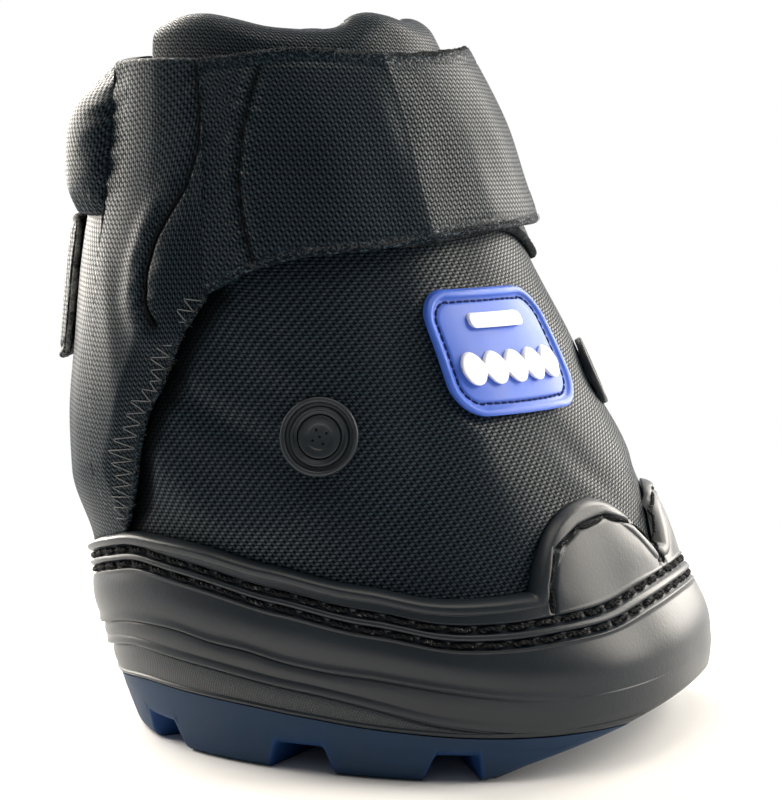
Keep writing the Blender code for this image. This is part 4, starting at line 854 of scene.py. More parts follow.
def cloth_finish(name, across, along, highlight_level=1.0, lying=False):
    """Ballistic nylon: a plain weave of thick glossy threads, frayed at its hems.

    On the piece's map, in thread widths, the warp lies on top at every place where the sum of the two whole
    numbers is even, and the weft at the others. Each float is an ellipse that reaches past its own cell,
    and its height is the square root of one less the squares of its distances from its middle. The warp
    carries the gloss. Light and shade are painted into the colour: a painted highlight on the crown of each
    float, the warp most, painted shade in the low places between the threads, and more painted shade where
    a piece sets the mark shade, along its seams and tucks. The fourth argument scales the painted highlight
    and the gloss.
    """
    look = boot().finish
    f = Finish(name, roughness=0.6, specular=0.06)
    f.set("Coat Roughness", 0.35)
    f.set("Coat IOR", 1.5)
    place = f.uv()
    wander = f.noise(place, 60.0, 1.0) - 0.5
    u, v, _ = f.split(place)
    if lying:
        u, v = v, u * -1
    u = u / across + wander * 0.4
    v = v / along + wander * 0.3
    cu, cv = u.floor(), v.floor()
    even = ((cu + cv) * 0.5).part() < 0.25
    fu, fv = u - cu - 0.5, v - cv - 0.5
    up, side = fv - (1 - even) * fv.sign(), fu - even * fu.sign()
    warp = (1 - ((fu + up * 0.3) / 0.40) ** 2.0 - (up / 0.62) ** 2.0).most(0.0) ** 0.5
    weft = (1 - (side / 0.60) ** 2.0 - ((fv - side * 0.3) / 0.38) ** 2.0).most(0.0) ** 0.5
    fibre = f.noise(f.node("ShaderNodeMapping", {}, {"Vector": place, "Scale": (5.0, 1.0, 1.0)}), 1500.0, 2.0)
    patchy = f.noise(place, 33.0, 2.0)
    hem = f.mark("hem")
    tangle = f.noise(place, 1250.0, 3.0, 0.7)
    frayed = f.spread(tangle, 0.52, 0.64)
    height = warp.most(weft * 0.72)
    height = height + hem * (tangle * 1.1 - height)
    # Painted highlight: the crowns of the floats, the warp most, are painted lighter, with random fibre tone
    # over them.
    lit = f.spread(warp, 0.2, 0.95).most(f.spread(weft, 0.3, 1.0) * 0.42)
    lit = lit * f.spread(fibre, 0.3, 0.7, 0.55, 1.1) * f.spread(patchy, 0.3, 0.7, 0.72, 1.05)
    # Painted shade: where a piece sets the mark shade, the painted highlight, the gloss and the colour are
    # darkened.
    shade = f.mark("shade")
    lit = (lit + hem * (frayed * 1.3 - lit)) * highlight_level * (1 - 0.85 * shade)
    # Painted shade: the low places between the threads are painted darker.
    dark = f.blend(f.spread(height, 0.1, 0.6), tuple(0.3 * c for c in look.nylon), tuple(look.nylon))
    woven = f.blend(lit, dark, tuple(look.nylon_light))
    f.set("Base Color", f.blend(shade * 0.85, woven, tuple(0.1 * c for c in look.nylon)))
    f.set("Coat Weight", lit * (1 - 0.5 * hem))
    f.raise_surface(height + fibre * 0.1, 0.34 * MM)
    return f.material


def fuzzy_finish(name, base, light):
    """Brushed loop cloth: two sizes of noise as tangled fibres."""
    f = Finish(name, roughness=0.9, specular=0.1)
    place = f.place()
    tangle = f.noise(place, 900.0, 4.0, 0.7)
    clump = f.noise(place, 260.0, 2.0)
    lit = f.spread(tangle * 0.7 + clump * 0.3, 0.42, 0.72)
    f.set("Base Color", f.blend(lit, base, light))
    f.raise_surface(tangle + clump * 0.6, 0.6 * MM)
    return f.material


def rubber_finish(name, tint, roughness):
    """Moulded rubber with a fine grain, faint scuffs, and ribs where a piece marks them.

    The ribs are a cosine of the length round a piece less half the length up it, and a finer one across them.
    Their crests are painted lighter, as a painted highlight.
    """
    f = Finish(name, roughness=roughness, coat=0.85, specular=0.05)
    f.set("Coat Roughness", 0.37)
    place = f.place()
    pebble = f.noise(place, 1250.0, 3.0, 0.6)
    scuff = f.noise(place, 45.0, 4.0, 0.6)
    dust = f.noise(place, 420.0, 3.0, 0.7)
    shade = f.spread(scuff, 0.3, 0.7)
    u, v, _ = f.split(f.uv())
    rib = ((u - v * 0.5) * (math.tau / (0.62 * MM))).cosine()
    wave = rib + ((u * 0.3 + v) * (math.tau / (0.7 * MM))).cosine() * 0.35
    ribbed = f.spread(wave, -0.2, 1.2) * f.mark("ribs")
    pale = tuple(min(1.0, 1.4 * c + 0.003) for c in tint)
    # Painted highlight: where a piece marks ribs, their crests are painted lighter.
    f.set("Base Color", f.blend(ribbed, f.blend(shade * 0.6, tint, pale), tuple(5 * c + 0.012 for c in tint)))
    f.set("Roughness", f.spread(scuff, 0.25, 0.75, roughness - 0.07, roughness + 0.1))
    f.raise_surface(pebble * 0.7 + dust * 0.3 + wave * 1.1 * f.mark("ribs"), 0.3 * MM)
    return f.material


def smooth_finish(name, tint, roughness, grain=0.02 * MM):
    """Smooth moulded rubber with a faint bloom."""
    f = Finish(name, roughness=roughness, specular=0.5)
    place = f.place()
    bloom = f.noise(place, 120.0, 4.0, 0.6)
    fine = f.noise(place, 2600.0, 2.0)
    pale = tuple(min(1.0, 1.3 * c + 0.003) for c in tint)
    f.set("Base Color", f.blend(f.spread(bloom, 0.35, 0.75) * 0.5, tint, pale))
    f.set("Roughness", f.spread(bloom, 0.3, 0.7, roughness - 0.06, roughness + 0.08))
    f.raise_surface(fine, grain)
    return f.material


def thread_finish(name, tint, light, amount=0.5):
    """Bonded thread: twisted fibres with a few pale ones standing out."""
    f = Finish(name, roughness=0.65, specular=0.12)
    place = f.place()
    fibre = f.noise(place, 2400.0, 3.0, 0.7)
    fluff = f.noise(place, 800.0, 3.0, 0.8)
    f.set("Base Color", f.blend(f.spread(fluff * fibre, 0.30, 0.42) * amount, tint, light))
    f.raise_surface(fibre, 0.35 * MM)
    return f.material


def make_finishes():
    """Every finish of the boot by name."""
    look, cloth = boot().finish, boot().cloth
    across, along = cloth.weave_across, cloth.weave_along
    f = Finish("sole rubber", roughness=0.5, specular=0.32)
    place = f.place()
    scuff, pebble = f.noise(place, 60.0, 4.0, 0.6), f.noise(place, 1700.0, 3.0, 0.6)
    base = f.blend(f.spread(scuff, 0.3, 0.7) * 0.5, tuple(look.sole), tuple(1.6 * c for c in look.sole))
    # Painted highlight: where the mark notch is set, the sole is painted a brighter blue.
    f.set("Base Color", f.blend(f.mark("notch"), base, tuple(look.sole_notch_highlight)))
    f.set("Roughness", f.spread(scuff, 0.25, 0.75, 0.5, 0.66))
    f.raise_surface(pebble, 0.04 * MM)
    return {
        "sole": f.material,
        "cloth": cloth_finish("ballistic nylon", across, along),
        "cloth_vamp": cloth_finish("ballistic nylon of the vamp", across * 0.96, along * 1.06, 0.9, True),
        "cloth_collar": cloth_finish("ballistic nylon of the collar", across * 0.92, along * 0.85),
        "fuzzy": fuzzy_finish("brushed loop", (0.004, 0.0055, 0.0070), (0.062, 0.070, 0.077)),
        "frayed": fuzzy_finish("frayed tape", (0.03, 0.032, 0.034), (0.34, 0.33, 0.31)),
        "brushed": fuzzy_finish("brushed tape", (0.014, 0.015, 0.016), (0.22, 0.21, 0.195)),
        "rubber": rubber_finish("shell rubber", tuple(look.rubber), 0.5),
        "vent": smooth_finish("vent rubber", (0.008, 0.013, 0.018), 0.42),
        "patch": smooth_finish("patch rubber", tuple(look.patch), 0.42),
        "white": smooth_finish("patch figure rubber", tuple(look.patch_white), 0.4),
        "patch_thread": thread_finish("patch thread", (0.010, 0.022, 0.11), (0.03, 0.06, 0.25), 0.4),
        "thread": thread_finish("bonded thread", tuple(2 * c for c in look.thread), (0.24, 0.235, 0.225),
                                0.95),
        "seam_thread": thread_finish("seam thread", (0.002, 0.0025, 0.003), (0.03, 0.03, 0.03), 0.4),
        "fine_thread": thread_finish("overlock thread", (0.085, 0.09, 0.1), (0.3, 0.29, 0.27), 0.6),
        "overlock": thread_finish("pale overlock thread", (0.20, 0.21, 0.22), (0.42, 0.41, 0.39), 0.6),
        "foam": fuzzy_finish("lining foam", tuple(look.foam), tuple(1.9 * c for c in look.foam)),
        "board": smooth_finish("liner board", tuple(look.board), 0.8, 0.06 * MM),
        "grip": fuzzy_finish("hook and loop", (0.008, 0.008, 0.009), (0.045, 0.045, 0.046)),
    }


FINISHES = {}


def finish_of(name):
    """A finish by its short name; all are made at the first call."""
    if not FINISHES:
        FINISHES.update(make_finishes())
    return FINISHES[name]


# Lines of the shell


def groove_height(angle):
    """Height of the upper stitched groove."""
    s = boot().shell
    return s.groove_low + s.groove_rise * side_share(GROOVE_SHARES, angle)


def wrapped(angle):
    """An angle set between -180 and 180 degrees."""
    return (np.asarray(angle, float) + HALF_TURN) % (2 * HALF_TURN) - HALF_TURN


def lobe_share(angle):
    """How far up its toe lobe the edge is, from 0 beside it to 1 at its crown: 1 less a power of the way."""
    s = boot().shell
    angle = wrapped(angle)
    half = np.where((angle > 0) & (angle < s.lobe_angle), 0.86, 1) * s.lobe_half_angle
    away = np.abs(np.abs(angle) - s.lobe_angle) / half
    return np.maximum(1 - away**s.lobe_power, 0) * np.where(angle > 0, 0.87, 1)


def rim_height(angle):
    """Height of the shell's edge with its two toe lobes."""
    s = boot().shell
    band = s.rim_band * side_share(RIM_BAND_SHARES, angle)
    return groove_height(angle) + band + s.lobe_rise * lobe_share(angle)


def step_height(number, angle):
    """Height of one of the three stepped lines of the wall, from the top."""
    low, rise, shares = {
        1: (20 * MM, 10 * MM, STEP_1_SHARES),
        2: (12.6 * MM, 11 * MM, STEP_2_SHARES),
        3: (10.9 * MM, 4.2 * MM, STEP_3_SHARES),
    }[number]
    return low + rise * side_share(shares, angle)


def band_stand(number, angle):
    """Stand of the wall below a step, further in for each, and less so towards the toe."""
    s = boot().shell
    return s.shell_gap + s.wall - number * s.band_step * side_share(STEP_FADE_SHARES, angle)


def bevel_height(x):
    """Height of the toe bevel's plane at a distance from the middle."""
    s = boot().shell
    return (x - s.bevel_start) * s.bevel_slope


# Lines of the upper


def strap_top(angle):
    c = boot().cloth
    return c.strap_top_low + c.strap_top_rise * smooth(STRAP_TOP_SHARES, angle)[..., 1]


def strap_bottom(angle):
    c = boot().cloth
    return c.strap_bottom_low + c.strap_bottom_rise * smooth(STRAP_BOTTOM_SHARES, angle)[..., 1]


def flap_bottom(angle):
    c = boot().cloth
    return c.flap_bottom_low + c.flap_bottom_rise * smooth(FLAP_BOTTOM_SHARES, angle)[..., 1]


def strap_inner(angle):
    """Stand of the strap's inner face: on the grips in front, nearer the vamp at the seam."""
    c = boot().cloth
    return mix(c.strap_seam_stand, c.strap_stand, ramp((angle + 80) / 30))


def quarter_low(from_toe):
    c, s = boot().cloth, boot().shell
    rim = rim_height(from_toe) + s.gap
    foot = rim_height(c.quarter_foot) + s.gap
    climbing = mix(foot, strap_bottom(-c.seam_angle), smooth(QUARTER_EDGE_SHARES, from_toe)[..., 1])
    return np.where(from_toe >= c.quarter_foot, rim, climbing)


def quarter_high(from_toe):
    c = boot().cloth
    front = mix(strap_top(-c.seam_angle), c.quarter_top, ramp((from_toe - c.seam_angle) / 16))
    return np.where(from_toe > c.quarter_step + 0.05, c.quarter_rear_top, front)


def quarter_face(from_toe, height, edge_stand):
    """Stand of a quarter's plain face: thin at its lower edge, padded over that, and less so at the seam."""
    c = boot().cloth
    full = mix(edge_stand, c.quarter_gap + c.quarter_thickness, ramp((from_toe - c.seam_angle) / 16))
    thin = c.quarter_gap + c.quarter_edge
    return mix(thin, full, ramp((height - quarter_low(from_toe)) / c.quarter_swell))


def corner_rise(distance, radius):
    """How far a round corner lifts an edge at a distance from its end: the radius less a circle's height."""
    into = np.clip(1 - distance / radius, 0, 1)
    return radius * (1 - np.sqrt(1 - into * into))


# Operators


def shell_rim(angle):
    """Height of the shell's edge, a little higher behind where the upper leans over it."""
    return rim_height(angle) + 0.8 * MM * ramp((np.abs(wrapped(angle)) - 60) / 40)


def face_foot(angle):
    """Height at which the shell's face starts, over the upper groove."""
    return groove_height(angle) + boot().shell.groove_width / 2 + GROOVE_SHOULDER


def shell_rows(angle):
    """Stands, heights and ribs of the shell's rows, up the outside and down the inside, and the face's slice.

    A stepped line is a small bead over a sharp drop, a groove is the lower half of a circle, and a toe lobe
    swells in its middle.
    """
    s = boot().shell
    zero = 0 * angle
    wall = band_stand(0, angle)
    fade = side_share(STEP_FADE_SHARES, angle)
    seat = band_stand(3, angle) - s.lip_width - s.gap
    lip = step_height(3, angle) + s.gap
    upper = groove_height(angle)
    lower = upper - s.groove_pitch
    lobe = lobe_share(angle)
    rim = shell_rim(angle)
    step_1, step_2 = step_height(1, angle), step_height(2, angle)
    over_step = STEP_EDGE[-1][0] * MM
    half = s.groove_width / 2
    rows = []

    def row(stand, height, rib=0.0):
        rows.append((stand + zero, height + zero, rib + zero))

    foot = band_stand(2, angle) - 0.25 * MM * fade
    foot_bead = lip + 1.1 * MM
    row(seat, s.bottom)
    row(seat, lip)
    row(foot, lip)
    for k in np.linspace(0, 1, 7):
        row(foot + 0.3 * MM * fade * np.sin(np.pi * k), mix(lip, foot_bead, k))
    ledges = (
        (foot, band_stand(1, angle), foot_bead, step_2, True),
        (band_stand(1, angle) - 0.1 * MM * fade, wall, step_2 + over_step, step_1, False),
    )
    for low_stand, high_stand, start, level, ribbed in ledges:
        for k in np.linspace(0, 1, 17)[1:]:
            belly = 0.22 * MM * fade * np.sin(np.pi * k)
            rib = ramp(k * 9) * ramp((1 - k) * 9) * fade if ribbed else 0.0
            row(low_stand + belly, mix(start, level - 0.55 * MM, k), rib)
        for rise, part, raised in STEP_EDGE:
            row(mix(low_stand, high_stand, part) + raised * MM * fade, level + rise * MM)
    for k in np.linspace(0.06, 1, 14):
        swell = 0.5 * MM * np.sin(np.pi * k)
        row(wall + swell, mix(step_1 + over_step, lower - half - 0.3 * MM, k))
    for groove in (lower, upper):
        for k in np.linspace(-1, 1, 13):
            lipped = 0.18 * MM * bump(abs(k) - 1, 0.25)
            depth = s.groove_depth * np.sqrt(max(1 - (k * 1.12) ** 2, 0))
            row(wall - depth + lipped, groove + k * (half + GROOVE_SHOULDER))
        if groove is lower:
            for k in np.linspace(-1, 1, 7)[1:-1]:
                between = (lower + upper) / 2 + k * (s.groove_pitch / 2 - half - GROOVE_SHOULDER)
                row(wall + 0.3 * MM * (1 - k * k), between)
    first_face = len(rows)
    for k in 1 - np.linspace(0.98, 0, 54) ** 1.5:
        dome = 1.0 * MM * ramp(lobe * 1.6) * np.sin(np.pi * np.clip(k * 1.1, 0, 1))
        row(wall - 0.3 * MM * lobe + dome, mix(face_foot(angle), rim, k))
    face = slice(first_face, len(rows))
    for k in np.linspace(0, 1, 8)[1:]:
        row(s.shell_gap, mix(rim, s.ledge, k))
    row(s.shell_gap - s.ledge_width, s.ledge)
    row(s.shell_gap - s.ledge_width, s.floor)
    stand, height, ribs = (np.stack(part, -1) for part in zip(*rows))
    return stand, height, ribs, face


def rolled_face(angle, stand, height):
    """Stands of the shell's face with the rim's roll on it.

    The roll is a half round along the edge, measured square to it, and closes to the vamp on a quarter round.
    """
    s = boot().shell
    rim, turned = shell_rim(angle), wrapped(angle)
    scale = arc_between(5, 40, 50 * MM) / 35
    slope = np.gradient(rim, angle) / scale
    off_edge = (rim[:, None] - height) / np.sqrt(1 + slope[:, None] ** 2)
    at_toe = np.abs(turned) < 50
    order = np.argsort(turned[at_toe])
    edge = np.stack([turned[at_toe][order] * scale, rim[at_toe][order]], -1)
    across = np.broadcast_to(turned[:, None] * scale, height.shape)
    off_edge[at_toe], _ = near_path(across[at_toe], height[at_toe], edge)
    wide = mix(3.0 * MM, 4.0 * MM, ramp(lobe_share(angle) * 2))
    wide = np.minimum(wide, rim - face_foot(angle))[:, None]
    bulge = s.rim_bead * np.sqrt(np.clip(1 - ((off_edge - wide / 2) / (wide / 2)) ** 2, 0, 1))
    closing = np.sqrt(1 - np.clip(1 - off_edge / np.minimum(1.5 * MM, 0.5 * wide), 0, 1) ** 2)
    return mix(s.shell_gap + 0.1 * MM, stand + bulge, closing)


def lobe_groove(angle, height, sign):
    """How far the surface of one toe lobe sinks along its stitching: a bell across the stitching's path."""
    s = boot().shell
    scale = arc_between(sign * 5, sign * 40, 50 * MM) / 35
    stitch = lobe_path()
    path = np.stack([stitch[:, 0] * sign * scale, stitch[:, 1]], -1)
    turned = wrapped(angle)
    over_groove = height > groove_height(angle) + s.groove_width / 2
    near = (np.abs(turned - sign * s.lobe_angle) < 26) & over_groove
    distance = np.full(height.shape, 1.0)
    distance[near], _ = near_path(turned[near] * scale, height[near], path)
    return 0.95 * MM * bump(distance, 0.62 * MM)


def build_shell():
    """The shell as one skin: rows up the outside over stepped bands, grooves and rim, and down the inside.

    Each row is a stand and a height at every angle, and every point is kept above the plane of the toe bevel.
    """
    s = boot().shell
    angle = np.arange(-720, 720, 4 / boot().studio.detail) / 4.0
    stand, height, ribs, face = shell_rows(angle)
    grid = np.broadcast_to(angle[:, None], stand.shape)
    around, _ = grid_lengths(on_form(grid, height, stand))
    stand[:, face] = rolled_face(angle, stand[:, face], height[:, face])
    for sign in (-1, 1):
        stand = stand - lobe_groove(grid, height, sign)
    points = on_form(grid, height, stand)
    over_bevel = 0.01 * MM * np.arange(stand.shape[1])
    points[..., 2] = np.maximum(points[..., 2], bevel_height(points[..., 0]) + over_bevel)
    points, quads, tris = disc_faces(points, (0, 0, s.bottom), (0, 0, s.floor))
    level_around = np.broadcast_to(around[:, :1], height.shape)
    uv = np.concatenate([np.stack([level_around, height], -1).reshape(-1, 2), np.zeros((2, 2))])
    marks = {"ribs": np.concatenate([ribs.ravel(), [0, 0]])}
    piece = new_piece("shell", points, quads, tris, uv, marks)
    return finish_piece(piece, "rubber", "rubber_shell")


def lobe_path():
    """Angle and height of the far toe lobe's stitching, from one foot over its crown to the other."""
    s = boot().shell
    rows = np.array(LOBE_STITCH_SHARES)
    angle = s.lobe_angle + rows[:, 0]
    return np.stack([angle, groove_height(angle) + rows[:, 1] * s.lobe_rise], -1)


def notch_part(angle):
    """How far into a gap between two lugs an angle is: 0 on a lug, 1 in a gap, and a short slope between."""
    from_toe = np.abs(wrapped(angle))
    part = 0 * from_toe
    for start, end in NOTCH_ANGLES:
        part = np.maximum(part, ramp((from_toe - start + 1.2) / 2.4) * ramp((end + 1.2 - from_toe) / 2.4))
    return part


def build_tread():
    """The outsole: a disc whose underside is lifted into gaps, a ring channel, cross bars and the toe bevel.

    The underside's height at an angle and a share of the way out is the highest of the smooth steps of those
    forms. The wall rises from it to the lip, rounded at its foot, and the lip and a flat top close the body.
    """
    s = boot().shell
    base = np.arange(-180, 180, 1.0)
    extra = [np.linspace(mark - 1.3, mark + 1.3, 15)
             for pair in NOTCH_ANGLES for mark in (*pair, -pair[0], -pair[1])]
    angle = np.unique(np.round(wrapped(np.concatenate([base, *extra])), 3))
    stand = band_stand(3, angle)
    lip = step_height(3, angle)
    notch = notch_part(angle)
    out = np.concatenate([
        np.linspace(0.04, 0.54, 26), np.linspace(0.548, 0.575, 6), np.linspace(0.59, 0.64, 5),
        np.linspace(0.648, 0.688, 7), np.linspace(0.71, 0.94, 8), [0.965, 0.985],
    ])
    grid, part = np.meshgrid(angle, out, indexing="ij")
    foot = on_form(grid, 0.0, band_stand(3, grid) - 2.0 * MM, part)
    ring = ramp((part - CHANNEL_SHARES[0] + 0.01) / 0.02) * ramp((CHANNEL_SHARES[1] + 0.01 - part) / 0.02)
    gap = notch[:, None] * ramp((part - 0.63) / 0.03)
    bars = 0 * foot[..., 0]
    for place in BAR_PLACE_SHARES:
        off = np.abs(foot[..., 0] - place * boot().form.toe_reach)
        bars = np.maximum(bars, ramp((s.bar_width / 2 + 0.5 * MM - off) / (1.0 * MM)))
    bars = bars * ramp((0.6 * boot().form.half_width - np.abs(foot[..., 1])) / (1.0 * MM) + 0.5)
    lift = np.maximum.reduce([s.channel_depth * ring, s.lug_height * gap, s.bar_depth * bars])
    soft_bevel = np.maximum(bevel_height(foot[..., 0]), 0)
    foot[..., 2] = np.maximum(lift, soft_bevel)
    # The mark notch sets where the sole is painted a brighter blue as a painted highlight: the lifted faces
    # of the underside, the wall in the gaps and its steep sides.
    foot_marks = np.clip(lift / (1.2 * MM), 0, 1)
    wall_rows, wall_marks = [], []
    low = s.lug_height * notch
    wall_x = on_form(angle, 3 * MM, stand)[:, 0]
    low = np.maximum(low, np.maximum(bevel_height(wall_x), 0))
    low = np.minimum(low, lip - 0.5 * MM)
    steep = np.abs(np.gradient(notch, angle))
    foot_round, under_lip = 2.0 * MM, lip - 0.2 * MM
    for k in np.linspace(0, 0.5, 6):
        round_out = foot_round * (1 - np.sin(np.pi * k))
        round_up = foot_round * (1 - np.cos(np.pi * k))
        wall_rows.append(on_form(angle, np.minimum(low + round_up, under_lip), stand - round_out))
        wall_marks.append(np.clip(np.maximum(notch * (1 - 2 * k), np.clip(steep * 2, 0, 1)), 0, 1))
    for k in np.linspace(0.1, 1, 10):
        height = mix(np.minimum(low + foot_round, under_lip), lip - 0.05 * MM, k)
        line = 0.25 * MM * bump((height - s.lug_height - 1.5 * MM) / MM, 0.3) * (1 - notch)
        wall_rows.append(on_form(angle, height, stand - line))
        wall_marks.append(0 * angle)
    for inward, height in ((0.3 * MM, lip), (s.lip_width, lip), (s.lip_width, s.bottom - s.gap)):
        wall_rows.append(on_form(angle, height, stand - inward))
        wall_marks.append(0 * angle)
    wall = np.stack(wall_rows, 1)
    points = np.concatenate([foot, wall], axis=1)
    limit = s.bevel_start + (step_height(3, 0.0) - 0.5 * MM) / s.bevel_slope
    points[..., 0] = np.minimum(points[..., 0], limit)
    points, quads, tris = disc_faces(points, (0, 0, 0), (0, 0, s.bottom - s.gap))
    marks = np.concatenate([foot_marks, np.stack(wall_marks, 1)], axis=1).ravel()
    piece = new_piece("tread", points, quads, tris, marks={"notch": np.append(marks, [0, 0])})
    return finish_piece(piece, "sole", "outsole_tread", sharp=50)


def build_inside():
    """The liner board and the comfort pad: discs whose profile runs from the middle out and back.

    The pad's top has a shallow hollow and a fine quilt of crossing waves, and its edge is rounded.
    """
    s = boot().shell
    stand = s.shell_gap - s.ledge_width
    angle = np.arange(0, 360, 3.0)
    board_low = s.floor + s.gap
    board_high = board_low + 1.5 * MM
    board = [(0.5, board_low, 0.6), (1, board_low, 0.6), (1, board_high, 0.6), (0.5, board_high, 0.6)]
    pad_low = board_high + s.gap
    pad = [(0.5, pad_low, 1), (0.96, pad_low, 1), (0.985, pad_low + 0.6 * MM, 1), (1, pad_low + 2.5 * MM, 1),
           (1, pad_low + 7.2 * MM, 1), (0.985, pad_low + 8.8 * MM, 1)]
    pad += [(part, pad_low + (9.4 - 0.5 * (1 - part)) * MM, 1) for part in np.linspace(0.955, 0.08, 40)]
    for name, rows, finish, node in (("insole_board", board, "board", "liner_board"),
                                     ("comfort_insole", pad, "foam", "comfort_pad")):
        rows = np.array(rows)
        grid, part = np.meshgrid(angle, rows[:, 0], indexing="ij")
        margin = rows[:, 2] * MM
        points = on_form(grid, np.broadcast_to(rows[:, 1], part.shape), stand - margin, part)
        if name == "comfort_insole":
            x, y = points[..., 0], points[..., 1]
            quilt_pitch = 9 * MM
            quilt = np.minimum(np.abs(np.sin((x + y) * np.pi / quilt_pitch)),
                               np.abs(np.sin((x - y) * np.pi / quilt_pitch)))
            top = (np.arange(len(rows)) > 6) & (rows[:, 0] < 0.93)
            points[..., 2] -= np.where(top, 0.5 * MM * (1 - ramp(quilt * 3)), 0)
        piece = new_piece(name, *disc_faces(points, (0, 0, rows[0, 1]), (0, 0, rows[-1, 1])))
        finish_piece(piece, finish, node, sharp=60)
        finish == "foam"


def declare_sheet(angle, height, stand):
    """Lengths round and up a sheet on the form; they are worked out and not used."""
    around, up = grid_lengths(on_form(angle, height, stand))


def make_stitches(name, line, finish, radius, stitch, dip, *replaced, body="root", closed=False, sides=6,
                  plies=1):
    """A sewn thread as a piece; its line is angles, heights and stands."""
    piece = new_piece(name, *stitched(*line, stitch, radius, dip, sides, closed=closed, plies=plies))
    return finish_piece(piece, finish, *replaced, body=body)


def build_threads():
    """The thick thread in both rim grooves and round each toe lobe."""
    s = boot().shell
    angle = np.linspace(-180, 180, 721)
    in_groove = s.shell_gap + s.wall - s.groove_depth + 0.62 * MM
    for name, drop, node in (("rim_stitching_upper", 0.0, "rim_thread_upper"),
                             ("rim_stitching_lower", s.groove_pitch, "rim_thread_lower")):
        wander = 0.14 * MM * np.sin(angle * 1.7 + drop * 900) + 0.08 * MM * np.sin(angle * 4.3)
        make_stitches(name, (angle, groove_height(angle) - drop + wander, in_groove), "thread",
                      0.6 * MM, 7.0 * MM, 1.1 * MM, node, closed=True, plies=2)
    path = lobe_path()
    on_lobe = s.shell_gap + s.wall + 0.3 * MM
    for side, sign, deeper in (("near", -1, 0.0), ("far", 1, 0.6 * MM)):
        make_stitches(f"{side}_lobe_stitching", (sign * path[:, 0], path[:, 1], on_lobe - deeper), "thread",
                      0.46 * MM, None, 0.9 * MM, f"{side}_lobe_thread", plies=2)


def build_vamp():
    """The vamp, whose stand carries soft folds as bells across lines in angle and height, and its lining."""
    s, c = boot().shell, boot().cloth
    foot = s.ledge + s.gap
    angle = np.linspace(-150, 150, 361)
    height = foot + (c.vamp_top - foot) * edge_shares(90, 0.012)
    a, h = np.meshgrid(angle, height, indexing="ij")
    shown = ramp((h - 46 * MM) / (8 * MM)) * ramp((c.vamp_top - 8 * MM - h) / (12 * MM))
    folds = 0 * a
    for middle, top, slope, width, tall, depth in VAMP_FOLDS:
        across = a - middle - slope * (h / MM - top)
        folds += depth * MM * bump(across, width) * bump(h / MM - top, tall)
    for side in VENT_PLACES:
        middle = vent_frame(side)[0]
        folds *= 1 - bump(np.linalg.norm(on_form(a, h) - middle, axis=-1), 12 * MM)
    folds *= 1 - ramp((patch_distance(a, h) + 4 * MM) / (4 * MM))
    over_lobe = ramp((h - rim_height(a) - 0.5 * MM) / (7 * MM))
    folds = folds * over_lobe + 1.2 * MM * over_lobe * bump(a - 24, 26) * bump(h / MM - 68, 9)
    outer = folds * shown
    edge = np.linspace(c.seam_angle + 0.2, c.quarter_foot, 160)
    scale = arc_between(90, 130, 80 * MM) / 40
    beside, _ = near_path(np.abs(a) * scale, h, np.stack([edge * scale, quarter_low(edge)], -1))
    tuck_width = 5 * MM
    # Painted shade along the quarter's front edge, where the vamp tucks under it.
    shade = ramp(1.25 - beside / tuck_width)
    outer = outer - 0.8 * MM * ramp(1.3 - beside / tuck_width) * over_lobe
    piece = slab("vamp", a, h, -c.vamp_thickness, outer, 0.6 * MM, origin=-20, turned=6,
                 marks={"shade": shade})
    place_vent_holes(piece)
    finish_piece(piece, "cloth_vamp", "vamp_outer")
    flat = (arc_between(-150, 150, 80 * MM), c.vamp_top - foot)
    a, h = np.meshgrid(np.linspace(-150, 150, 121), height[::2], indexing="ij")
    top = -c.vamp_thickness - s.gap
    quilt = 0.35 * MM * (1 - np.abs(np.sin(a * np.pi / 14))) ** 4
    lining = slab("lining", a, h, top - c.lining_thickness + quilt, top, 1.2 * MM)
    place_vent_holes(lining)
    finish_piece(lining, "foam", "vamp_lining", slot="lining")


def vent_frame(side):
    """A vent's middle and its three directions: across, up and out of the form."""
    angle, height = VENT_PLACES[side][0], VENT_PLACES[side][1] * MM
    here = on_form(angle, height)
    out = outward(angle, height)
    across = on_form(angle + 1, height) - on_form(angle - 1, height)
    across = across / np.linalg.norm(across)
    return here, across, np.cross(out, across), out


def turned_piece(name, profile, side, columns=72):
    """A ring or disc turned round a vent's axis: radius and height pairs, carried once round.

    A profile that starts and ends on the axis makes a disc; any other is closed into a ring.
    """
    here, across, up, out = vent_frame(side)
    profile = np.asarray(profile, float)
    spin = np.linspace(0, math.tau, columns, endpoint=False)
    disc = profile[0, 0] == 0
    rows = profile[1:-1] if disc else profile
    ray = np.cos(spin)[:, None] * across + np.sin(spin)[:, None] * up
    points = here + rows[None, :, :1] * ray[:, None] + rows[None, :, 1:] * out
    if disc:
        return new_piece(name, *disc_faces(points, here + profile[0, 1] * out, here + profile[-1, 1] * out))
    count = len(profile)
    numbers = np.arange(columns * count).reshape(columns, count)
    numbers = np.concatenate([numbers, numbers[:, :1]], axis=1)
    following = np.roll(numbers, -1, axis=0)
    quads = np.stack([numbers[:, :-1], following[:, :-1], following[:, 1:], numbers[:, 1:]], -1)
    return new_piece(name, points, quads)


def cut_out(piece, tool):
    """Take a solid out of a piece for good, and remove the solid."""
    modifier = piece.modifiers.new("cut", "BOOLEAN")
    modifier.operation, modifier.solver, modifier.object = "DIFFERENCE", "EXACT", tool
    bpy.context.view_layer.update()
    shape = piece.evaluated_get(bpy.context.evaluated_depsgraph_get())
    cut = bpy.data.meshes.new_from_object(shape)
    piece.modifiers.clear()
    piece.data = cut
    bpy.data.objects.remove(tool)
    cut.shade_smooth()
    cut.set_sharp_from_angle(angle=math.radians(45))


